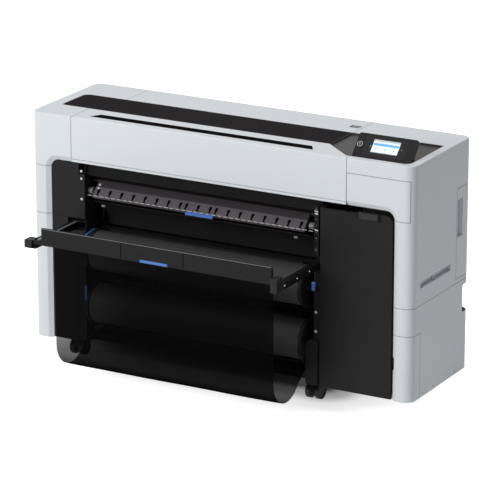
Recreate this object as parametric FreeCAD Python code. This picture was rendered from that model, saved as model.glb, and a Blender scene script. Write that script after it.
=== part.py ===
# Large format roll-fed plotter with two paper rolls, an ink cabinet on the right and a
# pull-out print catcher in front.  Millimetres, +Z up.  Everything is drawn with y = 0 on
# the cabinet's front plane and x = 0 at its middle, then moved so that the origin lies on
# the floor under the centre of the machine's bounding box.
import FreeCAD
import Part
import math
import os

V = FreeCAD.Vector

# ---------------------------------------------------------------- the main run of sizes
# Across: the paper, the room on each side of it up to the outer faces of the bay's side
# plates, and the two wings that end the cabinet.
MEDIA_WIDTH = 1067.0        # 42 inch roll
LEFT_ROOM = 38.5
RIGHT_ROOM = 91.5
LEFT_WING = 265.5
RIGHT_WING = 446.5
CABINET_WIDTH = LEFT_WING + LEFT_ROOM + MEDIA_WIDTH + RIGHT_ROOM + RIGHT_WING
HALF = CABINET_WIDTH / 2.0
FRAME_LEFT_X = -HALF + LEFT_WING            # outer face of the left side plate
PAPER_LEFT = FRAME_LEFT_X + LEFT_ROOM
PAPER_RIGHT = PAPER_LEFT + MEDIA_WIDTH
FRAME_RIGHT_X = PAPER_RIGHT + RIGHT_ROOM    # outer face of the right side plate
PAPER_MIDDLE = (PAPER_LEFT + PAPER_RIGHT) / 2.0

# Front to rear: from the front plane to the flat back.
CABINET_DEPTH = 575.0
CREASE_Y = 163.0            # rear edge of the lifting cover, and its hinge line
WINDOW_REAR = CABINET_DEPTH - 205.0
RAIL_Y = (CABINET_DEPTH - 194.0, CABINET_DEPTH - 164.0)

# Upwards: the rolls, the platen over them, the front opening and the roof.
FLOOR_GAP = 113.0
LOWER_ROLL_Z = 295.0
ROLL_PITCH = 250.0
UPPER_ROLL_Z = LOWER_ROLL_Z + ROLL_PITCH
ARM_BOTTOM = UPPER_ROLL_Z + 100.0           # lower edge of the catcher's arms
PLATEN_TOP = UPPER_ROLL_Z + 327.0
OPENING_TOP = PLATEN_TOP + 68.0
COVER_EDGE_TOP = OPENING_TOP + 17.0         # edge of the white covers over the opening
ROOF_Z = OPENING_TOP + 228.0

# Fits shared by every part.
FIT = 0.3                   # clearance of parts seated in or beside others
RUNNING = 0.05              # radial clearance of shafts
OVER = 1.0                  # how far cutting tools pass a face, or joined solids overlap
SEAM = 0.8                  # visible gap between neighbouring covers
HALF_SEAM = SEAM / 2.0
OUT = 20.0                  # how far seam cutters stand clear of the skin

# ---------------------------------------------------------------- white covers
SKIN = 3.0                  # moulded cover wall
FRONT_CORNER_R = 45.0
REAR_CORNER_R = 45.0
ROOF_EDGE_R = 6.0

# front opening between the white columns
OPENING_LEFT = -HALF + 97.5
OPENING_RIGHT = HALF - 94.5
OPENING_CORNER_R = 40.0
BEVEL = 21.0                # slanted band round the opening
BEVEL_DEPTH = 14.0
RETURN_DEPTH = 31.0         # wall that runs back from the bevel

# seams of the white covers
LEFT_COVER_SEAM_X = -HALF + 211.5
RIGHT_COVER_SEAM_X = HALF - 319.5
REAR_SEAM_LEFT_X = -HALF + 277.5
REAR_SEAM_RIGHT_X = HALF - 477.5
LEFT_UPPER_SEAM_Z = OPENING_TOP - 16.0
LEFT_LOWER_SEAM_Z = OPENING_TOP - 239.0
RIGHT_SEAM_Z = UPPER_ROLL_Z - 10.0
CORNER_COVER_TOP = RIGHT_SEAM_Z - 124.0
CORNER_COVER_DEPTH = 87.0

# lifting front cover with its narrow view strip
FRONT_COVER_BOTTOM = OPENING_TOP + 20.0
LIP_GROOVE_Z = FRONT_COVER_BOTTOM + 13.0
LIP_GROOVE = 1.6
LIP_DEPTH = 28.0
LIP_UPTURN = 14.0
STRIP_X = (-HALF + 283.5, HALF - 505.5)
STRIP_Y = (46.0, 95.0)
STRIP_SLANT = 30.0
STRIP_THICKNESS = 1.5

# smoked roof window and the control well
WINDOW_LEFT = -HALF + 64.5
WINDOW_SEAM_X = -HALF + 226.5
WINDOW_CORNER_R = 30.0
WINDOW_FRONT_R = 14.0
WINDOW_THICKNESS = 4.0
WINDOW_SINK = 0.6
WINDOW_LIP = 4.0
WELL_LEFT = HALF - 484.5
WELL_FRONT = 36.0
WELL_DIAGONAL_X = HALF - 338.5
WELL_RIGHT = HALF - 40.5
WELL_CORNER_R = 30.0
WELL_FLOOR_Z = ROOF_Z - 8.0
WELL_WALL = 2.4
PIT_DEPTH = 40.0            # deeper pocket that the panel's foot turns in
PIT_REAR = 130.0

# tilting control panel
PANEL_X = (HALF - 328.5, HALF - 47.5)
PANEL_LENGTH = 123.0
PANEL_THICKNESS = 14.0
PANEL_TILT = 45.0
PANEL_FOOT_Y = 60.0         # lower front edge
PANEL_FOOT_Z = ROOF_Z - 10.0
PANEL_RIGHT_R = 12.0
PANEL_LEFT_R = 4.0
PANEL_PIVOT_U = 10.0        # pivot, up the face and in from it
PANEL_PIVOT_T = 22.0
PIVOT_R = 4.0
KNUCKLE_X = (HALF - 219.5, HALF - 148.5)
KNUCKLE_R = 7.0
EAR_WIDTH = 9.0
SCREEN_X = (PANEL_X[0] + 39.0, PANEL_X[1] - 41.0)
SCREEN_U = (16.0, 111.0)
SCREEN_THICKNESS = 1.6
BUTTON_X = PANEL_X[0] + 18.5
BUTTON_U = 66.5
BUTTON_R = 14.0
BUTTON_HEIGHT = 6.0
BUTTON_PROUD = 2.0
BUTTON_TRAVEL = 1.5

# doors on the right
ACCESS_X = (RIGHT_COVER_SEAM_X + 1.0, HALF - 18.5)
ACCESS_Z = (OPENING_TOP - 19.0, ROOF_Z - 66.0)
ACCESS_DEPTH = 60.0
INK_DOOR_LEFT = FRAME_RIGHT_X + 2.5
INK_DOOR_GAP = 3.0
INK_DOOR_TOP = OPENING_TOP - 11.0
INK_DOOR_RISE = 8.0        # how much higher the door stands from its finger recess to the right
INK_DOOR_BOTTOM = FLOOR_GAP + 3.0
INK_DOOR_DEPTH = 18.0
INK_DOOR_EDGE_R = 1.5
INK_DOOR_PIVOT_X = INK_DOOR_LEFT + 9.5
INK_DOOR_PIVOT_Y = 8.0
HINGE_PIN_R = 3.0
HINGE_TAB = 2.4             # thickness of the steel tabs the door turns in
HINGE_TAB_END = 8.0         # how far they pass the pin
FINGER_X = OPENING_RIGHT - 167.0
FINGER_DEPTH = 24.0
FINGER_SINK = 4.0
SIDE_DOOR_Y = CABINET_DEPTH - 145.0
SIDE_DOOR_Z = (RIGHT_SEAM_Z + 18.0, OPENING_TOP + 25.0)
SIDE_DOOR_EDGE_X = HALF - 70.5
HANDLE_Y = (CABINET_DEPTH - 139.0, CABINET_DEPTH - 91.0)
HANDLE_Z = (SIDE_DOOR_Z[0] + 191.0, SIDE_DOOR_Z[1] - 52.0)
RECESS_DEPTH = 18.0         # of the side door's pull and the carry recess
CARRY_Y = (78.0, CABINET_DEPTH - 203.0)
CARRY_Z = (RIGHT_SEAM_Z + 77.0, RIGHT_SEAM_Z + 105.0)
CARRY_DIVIDER_Y = CARRY_Y[0] + 145.0
CARRY_DIVIDER_SINK = 4.0
REAR_NOTCH_Y = CABINET_DEPTH - 74.0
REAR_NOTCH_Z = (RIGHT_SEAM_Z - 152.0, RIGHT_SEAM_Z - 26.0)
NOTCH_R = 12.0
FINGER_NOTCH_Z = (CORNER_COVER_TOP - 160.0, CORNER_COVER_TOP - 106.0)
FINGER_NOTCH_R = 9.0
PLUG_HOLES_Y = (114.0, 219.0, SIDE_DOOR_Y)
PLUG_HOLE_Z = FLOOR_GAP + 14.0
PLUG_HOLE_R = 3.5

# vents of the roof and the back
ROOF_VENT_X = (REAR_SEAM_RIGHT_X - 60.0, REAR_SEAM_RIGHT_X - 14.0)
ROOF_VENT_Y = (CABINET_DEPTH - 129.0, CABINET_DEPTH - 93.0)
ROOF_VENT_PITCH = 9.0
ROOF_VENT_BAR = 4.0
ROOF_VENT_BARS = 4
BACK_PANEL_DEPTH = 40.0

# ---------------------------------------------------------------- steel structure
PLATE = 3.0
FRAME_FRONT_Y = 25.0
FRAME_REAR_Y = CABINET_DEPTH - 55.0
TUBE = 40.0                 # base frame tube height
TUBE_WIDTH = 60.0
BASE_FRONT_Y = 95.0
BASE_REAR_Y = CABINET_DEPTH - 155.0
BASE_X = (-HALF + 14.5, HALF - 14.5)
BASE_BOTTOM = FLOOR_GAP + PLATE
BASE_TOP = FLOOR_GAP + TUBE
PAN_Y = (48.0, CABINET_DEPTH - 75.0)        # floor of the ink cabinet
NOTCH_FRONT_Y = 112.0       # notch that the carriage passes through
NOTCH_REAR_Y = RAIL_Y[0] - 59.0
NOTCH_Z = PLATEN_TOP - 26.0
STEP_Y = RAIL_Y[0] - 5.0
STEP_Z = PLATEN_TOP + 26.0
POST_LEFT_X = (BASE_X[0], BASE_X[0] + 22.0)
POST_RIGHT_X = (BASE_X[1] - 40.0, BASE_X[1] - 10.0)
ROOF_BEAM_Y = ((CREASE_Y + 3.0, CREASE_Y + 23.0), (WINDOW_REAR - 24.0, WINDOW_REAR - 4.0))
ROOF_BEAM_Z = (ROOF_Z - 41.0, ROOF_Z - 11.0)
FRONT_BEAM_Y = (40.0, 88.0)
FRONT_BEAM_Z = (PLATEN_TOP + 25.0, PLATEN_TOP + 74.0)

# casters
CASTER_X = (-HALF + 149.5, FRAME_RIGHT_X - 92.0)
CASTER_Y = (BASE_FRONT_Y + 30.0, BASE_REAR_Y)
CASTER_TRAIL = 25.0
WHEEL_R = 37.5
WHEEL_WIDTH = 24.0
WHEEL_SPACING = 47.0
WHEEL_EDGE_R = 3.0
WHEEL_DISH = 4.0
WHEEL_RIM = 9.0
AXLE_R = 5.0
SWIVEL_R = 8.0
SWIVEL_PIN = 16.0           # how far the pin stands in the base
SWIVEL_SEAT_Z = 2.0 * WHEEL_R + 21.0
SWIVEL_SEAT_R = 30.0
YOKE_HEAD = 24.0
YOKE_FOOT = 14.0
HOOD_GAP = 3.0
HOOD_WALL = 4.0

# ---------------------------------------------------------------- paper, rolls and their covers
ROLL_Y = 70.0
ROLL_Z = {"upper": UPPER_ROLL_Z, "lower": LOWER_ROLL_Z}
ROLL_R = 80.0
CORE_R = 38.0
HUB_R = 24.0
FLANGE_R = ROLL_R + 17.0
ROLL_GUARD_TOP = LOWER_ROLL_Z - FLANGE_R - 6.0    # folded guard on the front tube, under the lower roll
FLANGE_WIDTH = 12.0
FLANGE_EDGE_R = 2.0
SPIGOT = 60.0
COVER_WALL = 2.5
COVER_GAP = 7.5             # between the full roll and its cover
COVER_R = ROLL_R + COVER_GAP + COVER_WALL
COVER_X = (PAPER_LEFT + 0.5, PAPER_RIGHT - 6.5)
COVER_FROM = 100.0          # degrees below the front
COVER_TO = 110.0            # degrees over the top
CRADLE_LEFT = 14.0          # width of the cradles on the side plates
CRADLE_RIGHT = 30.0
CRADLE_WALL = 10.0
SADDLE_ANGLE = 60.0         # where the pads meet the covers, degrees above the rear
SADDLE_Y = (ROLL_Y + COVER_R - 10.0, ROLL_Y + COVER_R + 6.0)
SADDLE_RISE = (COVER_R - 30.0, COVER_R)
PAD_INSET = 40.0
PAD_REACH = (-10.0, 48.0)
PAD_THICKNESS = 8.0
LEVER_WIDTH = 16.0
LEVER_PIN_R = 4.0
LEFT_LEVER_X = (FRAME_LEFT_X + 11.0, FRAME_LEFT_X + 21.0)
RIGHT_LEVER_X = (FRAME_RIGHT_X - 36.0, FRAME_RIGHT_X - 20.0)
LOWER_LEFT_PIVOT = (0.0, LOWER_ROLL_Z + 35.0)
UPPER_LEFT_PIVOT = (8.0, UPPER_ROLL_Z + 79.0)
UPPER_RIGHT_PIVOT = (6.0, UPPER_ROLL_Z + 11.0)
LEFT_LEVER_LENGTH = 55.0
FLAT_LEVER_LENGTH = 68.0
RIGHT_LEVER_LENGTH = 26.0
FLAT_LEVER_REST = 9.0       # degrees above level, pointing to the rear
LUG_DEPTH = 35.0

# ---------------------------------------------------------------- print engine
FEED_R = 18.0
FEED_Y = RAIL_Y[0] - 46.0
FEED_SHAFT_R = 8.0
PLATEN_THICKNESS = 14.0
PLATEN_FOOT_Z = PLATEN_TOP - 56.0
PLATEN_FOOT_Y = (20.0, 60.0)
PLATEN_Y = (108.0, FEED_Y - 23.0)
PLATEN_EDGE_R = 4.0
SUCTION_ROW = 60.0
SUCTION_COUNT = 24
SUCTION_R = 2.0
SUCTION_DEPTH = 3.0
PINCH_R = 10.0
PINCH_Z = PLATEN_TOP + FIT + PINCH_R
PINCH_SHAFT_R = 4.0
PINCH_COUNT = 12
PINCH_WIDTH = 52.0
SHAFT_PROUD = 4.0           # how far the shafts stand out of the side plates
RAIL_X = HALF - 49.5
RAIL_Z = (PLATEN_TOP + 68.0, PLATEN_TOP + 132.0)
RAIL_SEAT = 4.0
RAIL_GROOVE = 10.0
RAIL_GROOVE_EDGE = 22.0
CARRIAGE_X = (HALF - 304.5, HALF - 92.5)
CARRIAGE_Y = (120.0, RAIL_Y[0] - 65.0)
CARRIAGE_Z = (PLATEN_TOP + 14.0, PLATEN_TOP + 224.0)
CARRIAGE_TOP_R = 14.0
CARRIAGE_FRONT_R = 8.0
HEAD_X_INSET = 50.0
HEAD_Y_INSET = (30.0, 40.0)
HEAD_DROP = 10.0
SHOE_INSET = 20.0
PULLEY_R = 16.0
PULLEY_X = (-HALF + 94.5, HALF - 74.5)
PULLEY_SHAFT_R = 4.0
BEARING = 14.0
MOTOR_R = 26.0
MOTOR_LENGTH = 70.0
BELT_Z = PLATEN_TOP + 158.0
BELT_Y = (RAIL_Y[0] - 15.0, RAIL_Y[0] - 5.0)
BELT_THICKNESS = 2.0
CAP_INSET = 20.0
CAP_COUNT = 4
CAP_FIRST = 14.0
CAP_PITCH = 38.0
CAP_WIDTH = 28.0
CAP_DEPTH = 5.0

# slotted output guide under the print slot
GUIDE_X = (PAPER_LEFT - 4.5, PAPER_RIGHT - 1.5)
GUIDE_TOP = (92.0, PLATEN_TOP - 6.0)
GUIDE_FOOT = (30.0, PLATEN_TOP - 66.0)
GUIDE_THICKNESS = 3.0
GUIDE_FOLD = 16.0           # depth of its lip and end cheeks
GUIDE_CHEEK = 4.0
GUIDE_BEND = 0.42           # share of its length above the stiffening fold
GUIDE_HINGE_IN = 8.0        # hinge rod, behind the plate
GUIDE_PIN_R = 4.0
SLOT_WIDTH = 14.0
SLOT_LENGTH = 34.0
SLOT_NECK = (9.0, 18.0)     # width and length of the narrow part at the slot's foot
SLOT_MARGIN = 22.0
SLOT_FOOT = 6.0
SLOT_GROUPS = (8, 3, 8)     # slots in each group; groups stand half a pitch apart
SLOT_STEPS = sum(SLOT_GROUPS) - len(SLOT_GROUPS) / 2.0 - 0.5
SLOT_PITCH = (GUIDE_X[1] - GUIDE_X[0] - 2.0 * SLOT_MARGIN) / SLOT_STEPS
GRIP_X = (PAPER_MIDDLE - 52.0, PAPER_MIDDLE + 86.0)
GRIP_LENGTH = 17.0
GRIP_ACROSS = (3.0, -5.0)
GRIP_EDGE_R = 2.0
PAPER_GUIDE_TOP = (48.0, PLATEN_TOP - 94.0)
PAPER_GUIDE_FOOT = (172.0, PLATEN_TOP - 232.0)
PAPER_GUIDE_SAG = 26.0
PAPER_GUIDE_X = (PAPER_LEFT - 4.5, PAPER_RIGHT + 13.5)
HANGER_Y = (14.0, 46.0)
HANGER_RISE = 40.0

# ---------------------------------------------------------------- print catcher
REACH = 362.0               # nose of the right end block, ahead of the cabinet's front plane
LEFT_NOSE = 352.0
BAR_FRONT = 345.0
BAR_X = (FRAME_LEFT_X + 2.0, FRAME_RIGHT_X - 47.0)
BAR_BOTTOM = ARM_BOTTOM + 27.0
BAR_STEP_Z = ARM_BOTTOM + 52.0
BAR_LIP_Z = ARM_BOTTOM + 55.0
BAR_TOP = ARM_BOTTOM + 105.0
BAR_STEP = 8.0
BAR_STEP_X = 4.0
BAR_DEPTH = 12.0
BAR_WALL = 2.5
ARM_HEIGHT = 32.0
ARM_GROOVE = 2.0
ARM_GROOVE_EDGE = 9.0
LEFT_ARM_X = (FRAME_LEFT_X - 71.0, FRAME_LEFT_X - 41.0)
RIGHT_ARM_X = (FRAME_RIGHT_X - 36.0, FRAME_RIGHT_X - 8.0)
ARM_REAR_Y = 65.0
LEFT_BLOCK_X = (FRAME_LEFT_X - 83.0, FRAME_LEFT_X - 46.0)
LEFT_BLOCK_Z = (ARM_BOTTOM + 7.0, ARM_BOTTOM + 45.0)
RIGHT_BLOCK_X = (FRAME_RIGHT_X - 44.0, FRAME_RIGHT_X - 12.0)
RIGHT_BLOCK_Z = (ARM_BOTTOM - 5.0, ARM_BOTTOM + 59.0)
BLOCK_DEPTH = 50.0
BLOCK_R = 5.0
CHANNEL_REAR_Y = RAIL_Y[0] - 41.0           # rear end of the channels the arms slide in
NET_X = (FRAME_LEFT_X + 59.0, RIGHT_BLOCK_X[0] - 1.0)
NET_THICKNESS = 2.0
NET_TOP = ARM_BOTTOM + 90.0
NET_BELLY_Z = FLOOR_GAP - 14.0
NET_BEND_R = 124.0
NET_BEND_END = 330.0        # degrees round the belly, from the front
NET_REAR = (BASE_FRONT_Y - TUBE_WIDTH / 2.0 - FIT, ROLL_GUARD_TOP - 6.0)     # hem on the guard's face
NET_TAIL_GAP = 3.0          # ahead of the lower box, where the cloth narrows to pass beside it

# ---------------------------------------------------------------- dark trim of the bay
TRIM_Y = 14.0
TRIM_RIGHT = FRAME_LEFT_X + 5.0
FASCIA_BOTTOM = LEFT_LOWER_SEAM_Z - 4.0
FASCIA_GAP = 3.0
FASCIA_STEP = (30.0, 49.0)
LEFT_PANEL_TOP = FASCIA_BOTTOM - SEAM
ARM_NOTCH = (LEFT_ARM_X[0] - 14.0, ARM_BOTTOM - 4.0)     # corner of the panel's cut-out for the arm
PANEL_GROOVES = (46.0, 34.0)
PANEL_GROOVE_WIDTH = 4.0
PANEL_GROOVE_SINK = 1.2
PANEL_GROOVE_TOP = 150.0
STRIP_PLATE_X = (FRAME_RIGHT_X - 33.0, FRAME_RIGHT_X - 12.0)
STRIP_PLATE_Z = (ARM_BOTTOM + 57.0, OPENING_TOP - 9.0)
STRIP_SHEET = 2.0
STRIP_FOOT_SLANT = 14.0
STRIP_SLOTS = 5
STRIP_SLOT_TOP = 40.0
STRIP_SLOT_PITCH = 34.0
STRIP_SLOT = (6.0, 14.0)
STRIP_SLOT_HEIGHT = 12.0
LOWER_BOX_X = (FRAME_RIGHT_X - 68.0, FRAME_RIGHT_X - 8.0)
LOWER_BOX_TOP = LOWER_ROLL_Z + 25.0
LOWER_BOX_Y = (5.0, 34.0)
LOWER_BOX_R = 26.0
LOWER_BOX_HEAD = 30.0
LOWER_BOX_POST_X = (FRAME_RIGHT_X - 33.0, FRAME_RIGHT_X - 1.0)
LOWER_BOX_POST_Y = 16.0
LOWER_BOX_POST_TOP = ARM_BOTTOM - 5.0
LEVER_EAR = 8.0
SCREW_R = 6.5
SCREW_HEAD = 3.0
SCREW_EDGE_R = 1.2
STRIP_SCREWS = (18.0, 30.0)                 # from the strip's top and foot
POST_SCREW_Z = (LOWER_ROLL_Z + 66.0, LOWER_ROLL_Z + 154.0)

# ---------------------------------------------------------------- ink cabinet and electronics
RACK_X = (FRAME_RIGHT_X + 6.0, OPENING_RIGHT - 8.0)
RACK_Y = (36.0, CABINET_DEPTH - 95.0)
RACK_Z = (BASE_TOP + PLATE, PLATEN_TOP - 26.0)
RACK_WALL = 1.5
CARTRIDGE_COUNT = 6
CARTRIDGE_WALL = 2.5
CARTRIDGE_GAP = 4.0
CARTRIDGE_PROUD = 6.0
CARTRIDGE_REAR_ROOM = 30.0
PULL_HALF = 50.0
PULL_Z = (12.0, 40.0)
PULL_DEPTH = 9.0
CASE_FRONT = 12.0
SHELF_PITCH = (RACK_Z[1] - RACK_Z[0] - RACK_WALL) / CARTRIDGE_COUNT
BOX_X = (FRAME_LEFT_X + 409.0, FRAME_RIGHT_X - 148.0)
BOX_Y = (CABINET_DEPTH - 143.0, CABINET_DEPTH - 63.0)
BOX_Z = (330.0, PLATEN_TOP - 112.0)
BOX_WALL = 2.0
BOX_FOOT_INSET = 20.0
BACK_VENT_X = (BOX_X[0] + 120.0, BOX_X[1] - 120.0)
BACK_VENT_Z = BOX_Z[1] - 200.0
BACK_VENT_COUNT = 14
BACK_VENT_PITCH = 16.0
BACK_VENT_HEIGHT = 6.0
INLET_X = FRAME_RIGHT_X - 88.0
INLET_Z = 210.0
INLET_SIZE = (50.0, 28.0)
INLET_DEPTH = 30.0
INLET_SINK = 0.5
INLET_FLANGE = (8.0, 6.0)
SOCKET_INSET = (10.0, 5.0)
SOCKET_DEPTH = 18.0
PRONG_X = (17.0, 19.0)
PRONG_Z = (12.0, 16.0)
PRONG_PITCH = 7.0
PRONG_LENGTH = 12.0

BACK_Y = (CABINET_DEPTH - REACH) / 2.0      # how far the front plane lies before the origin
WHOLE_Y = (-OUT, CABINET_DEPTH + OUT)
LEFT_END = -HALF - OUT
RIGHT_END = HALF + OUT
COLUMN_LEFT = OPENING_LEFT + 0.5
COLUMN_RIGHT = OPENING_RIGHT - 0.5
BOTTOM = FLOOR_GAP - HALF_SEAM
TOP = ROOF_Z + OUT
ENGINE_X = (FRAME_LEFT_X + PLATE + FIT, FRAME_RIGHT_X - PLATE - FIT)
GUIDE_LENGTH = math.hypot(GUIDE_FOOT[0] - GUIDE_TOP[0], GUIDE_FOOT[1] - GUIDE_TOP[1])
ROLL_X = (PAPER_LEFT, PAPER_RIGHT)


# ---------------------------------------------------------------- small helpers
def box(x, y, z):
    """Box from three (low, high) pairs."""
    return Part.makeBox(x[1] - x[0], y[1] - y[0], z[1] - z[0], V(x[0], y[0], z[0]))


def rod_x(x, y, z, radius):
    """Round bar along X from x[0] to x[1]."""
    return Part.makeCylinder(radius, x[1] - x[0], V(x[0], y, z), V(1, 0, 0))


def rod_y(y, x, z, radius):
    """Round bar along Y."""
    return Part.makeCylinder(radius, y[1] - y[0], V(x, y[0], z), V(0, 1, 0))


def rod_z(z, x, y, radius):
    """Round bar along Z."""
    return Part.makeCylinder(radius, z[1] - z[0], V(x, y, z[0]), V(0, 0, 1))


def face_of(points):
    """Flat face inside a closed run of points."""
    return Part.Face(Part.makePolygon(points + [points[0]]))


def profile_x(points, x):
    """Outline of (y, z) points pushed along X."""
    outline = [V(x[0], y, z) for y, z in points]
    return face_of(outline).extrude(V(x[1] - x[0], 0, 0))


def profile_y(points, y):
    """Outline of (x, z) points pushed along Y."""
    outline = [V(px, y[0], pz) for px, pz in points]
    return face_of(outline).extrude(V(0, y[1] - y[0], 0))


def profile_z(points, z):
    """Outline of (x, y) points pushed along Z."""
    outline = [V(px, py, z[0]) for px, py in points]
    return face_of(outline).extrude(V(0, 0, z[1] - z[0]))


def arc_points(centre, radius, start, end, steps):
    """Points of an arc in the plane, angles in degrees."""
    found = []
    for i in range(steps + 1):
        angle = math.radians(start + (end - start) * i / steps)
        found.append((centre[0] + radius * math.cos(angle), centre[1] + radius * math.sin(angle)))
    return found


def fuse(shapes):
    """One solid from overlapping shapes."""
    return shapes[0].multiFuse(shapes[1:]).removeSplitter()


def fillet_where(shape, radius, test):
    """Round the straight edges that pass a test on their two ends."""
    chosen = []
    for edge in shape.Edges:
        if len(edge.Vertexes) == 2 and test(edge.Vertexes[0].Point, edge.Vertexes[1].Point):
            chosen.append(edge)
    return shape.makeFillet(radius, chosen)


def upright(a, b):
    """True for an edge that runs along Z."""
    return abs(a.x - b.x) < 1e-6 and abs(a.y - b.y) < 1e-6


def along_x(a, b):
    """True for an edge that runs along X."""
    return abs(a.x - b.x) > OVER and abs(a.z - b.z) < OVER


def along_y(a, b):
    """True for an edge that runs along Y."""
    return abs(a.y - b.y) > OVER and abs(a.z - b.z) < OVER


# ---------------------------------------------------------------- white cabinet skin
def cabinet_block(inset, bottom, top):
    """Cabinet's outer block, drawn in by inset, with its four upright corners rounded."""
    x = (-HALF + inset, HALF - inset)
    y = (inset, CABINET_DEPTH - inset)
    block = box(x, y, (bottom, top))
    middle = CABINET_DEPTH / 2.0
    block = fillet_where(block, FRONT_CORNER_R - inset, lambda a, b: upright(a, b) and a.y < middle)
    return fillet_where(block, REAR_CORNER_R - inset, lambda a, b: upright(a, b) and a.y > middle)


def cabinet_skin():
    """Hollow skin of the whole cabinet, open at the bottom, with a softly rounded roof edge."""
    outer = cabinet_block(0.0, FLOOR_GAP, ROOF_Z)
    edges = [e for e in outer.Edges if min(v.Z for v in e.Vertexes) > ROOF_Z - OVER]
    outer = outer.makeFillet(ROOF_EDGE_R, edges)
    return outer.cut(cabinet_block(SKIN, FLOOR_GAP - OUT, ROOF_Z - SKIN))


def opening_wire(grow, y):
    """Outline of the front opening at depth y, grown outwards."""
    left = OPENING_LEFT - grow
    right = OPENING_RIGHT + grow
    top = COVER_EDGE_TOP + grow
    radius = OPENING_CORNER_R + grow
    low = FLOOR_GAP - OUT
    turn = radius * (1.0 - math.sqrt(0.5))
    edges = [
        Part.LineSegment(V(left, y, low), V(left, y, top - radius)),
        Part.Arc(V(left, y, top - radius), V(left + turn, y, top - turn), V(left + radius, y, top)),
        Part.LineSegment(V(left + radius, y, top), V(right - radius, y, top)),
        Part.Arc(V(right - radius, y, top), V(right - turn, y, top - turn), V(right, y, top - radius)),
        Part.LineSegment(V(right, y, top - radius), V(right, y, low)),
        Part.LineSegment(V(right, y, low), V(left, y, low)),
    ]
    return Part.Wire([e.toShape() for e in edges])


def opening_prism(grow, y):
    """Straight-sided block through the front opening."""
    return Part.Face(opening_wire(grow, y[0])).extrude(V(0, y[1] - y[0], 0))


def opening_rim():
    """Slanted band round the opening and the wall that runs back from it."""
    back = BEVEL_DEPTH + RETURN_DEPTH
    outer = Part.makeLoft([opening_wire(BEVEL + SKIN, 0.0), opening_wire(SKIN, BEVEL_DEPTH)], True, True)
    inner = Part.makeLoft([opening_wire(BEVEL, 0.0), opening_wire(0.0, BEVEL_DEPTH)], True, True)
    band = outer.cut(inner)
    wall = opening_prism(SKIN, (BEVEL_DEPTH, back)).cut(opening_prism(0.0, (BEVEL_DEPTH, back)))
    return band, wall


def well_outline(grow):
    """Outline of the control well as (x, y) points, grown outwards."""
    right = WELL_RIGHT + grow
    front = WELL_FRONT - grow
    rear = WINDOW_REAR + grow
    radius = WELL_CORNER_R + grow
    corner = arc_points((right - radius, front + radius), radius, -90.0, 0.0, 8)
    left = WELL_LEFT - grow
    start = [(left, CREASE_Y - grow), (WELL_DIAGONAL_X - grow, front)]
    return start + corner + [(right, rear), (left, rear)]


def window_outline(grow):
    """Outline of the smoked window as (x, y) points, grown outwards."""
    left = WINDOW_LEFT - grow
    rear = WINDOW_REAR + grow
    radius = WINDOW_CORNER_R + grow
    corner = arc_points((left + radius, rear - radius), radius, 90.0, 180.0, 8)
    front = CREASE_Y - grow
    tight = WINDOW_FRONT_R + grow
    front_corner = arc_points((left + tight, front + tight), tight, 180.0, 270.0, 8)
    right = WELL_LEFT - SEAM + grow
    return front_corner + [(right, front), (right, rear)] + corner


def roof_cutter():
    """What the window and the well take out of the roof."""
    reach = (WELL_FLOOR_Z - PIT_DEPTH, TOP)
    return profile_z(window_outline(SEAM), reach).fuse(profile_z(well_outline(SEAM), reach))


def cover_stock():
    """Skin with the roof openings and the front opening taken out, its rim added."""
    band, wall = opening_rim()
    stock = cabinet_skin().cut(opening_prism(BEVEL, (-OUT, BEVEL_DEPTH + RETURN_DEPTH)))
    return fuse([stock, band, wall]).cut(roof_cutter())


def cut_cover(stock, blocks):
    """Part of the cover stock inside some blocks, drawn in by half a seam on each side."""
    tools = []
    for block in blocks:
        x, y, z = [(low + HALF_SEAM, high - HALF_SEAM) for low, high in block]
        tools.append(box(x, y, z))
    tool = tools[0]
    for other in tools[1:]:
        tool = tool.fuse(other)
    return largest(stock.common(tool))


def largest(shape):
    """Biggest solid of a shape."""
    return max(shape.Solids, key=lambda s: s.Volume)


def left_upper_cover(stock):
    """Left end cap: column top, side wall, roof end round the window."""
    z = (LEFT_UPPER_SEAM_Z, TOP)
    front = ((LEFT_END, LEFT_COVER_SEAM_X), (-OUT, CREASE_Y + OUT), z)
    rear = ((LEFT_END, REAR_SEAM_LEFT_X), (CREASE_Y, CABINET_DEPTH + OUT), z)
    return cut_cover(stock, [front, rear])


def left_side_cover(stock, z):
    """Column, side wall and rear corner of the left side between two heights."""
    return cut_cover(stock, [((LEFT_END, COLUMN_LEFT), WHOLE_Y, z)])


def carry_recess():
    """Long shallow carry recess in the right side wall: its shell, and the hollow round its divider."""
    inner = HALF - RECESS_DEPTH
    y = (CARRY_Y[0] - SKIN, CARRY_Y[1] + SKIN)
    z = (CARRY_Z[0] - SKIN, CARRY_Z[1] + SKIN)
    shell = box((inner - SKIN, HALF), y, z)
    hollow = box((inner, RIGHT_END), CARRY_Y, CARRY_Z)
    divider_y = (CARRY_DIVIDER_Y - SKIN / 2.0, CARRY_DIVIDER_Y + SKIN / 2.0)
    divider = box((inner, HALF - CARRY_DIVIDER_SINK), divider_y, CARRY_Z)
    return shell, hollow.cut(divider)


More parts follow.
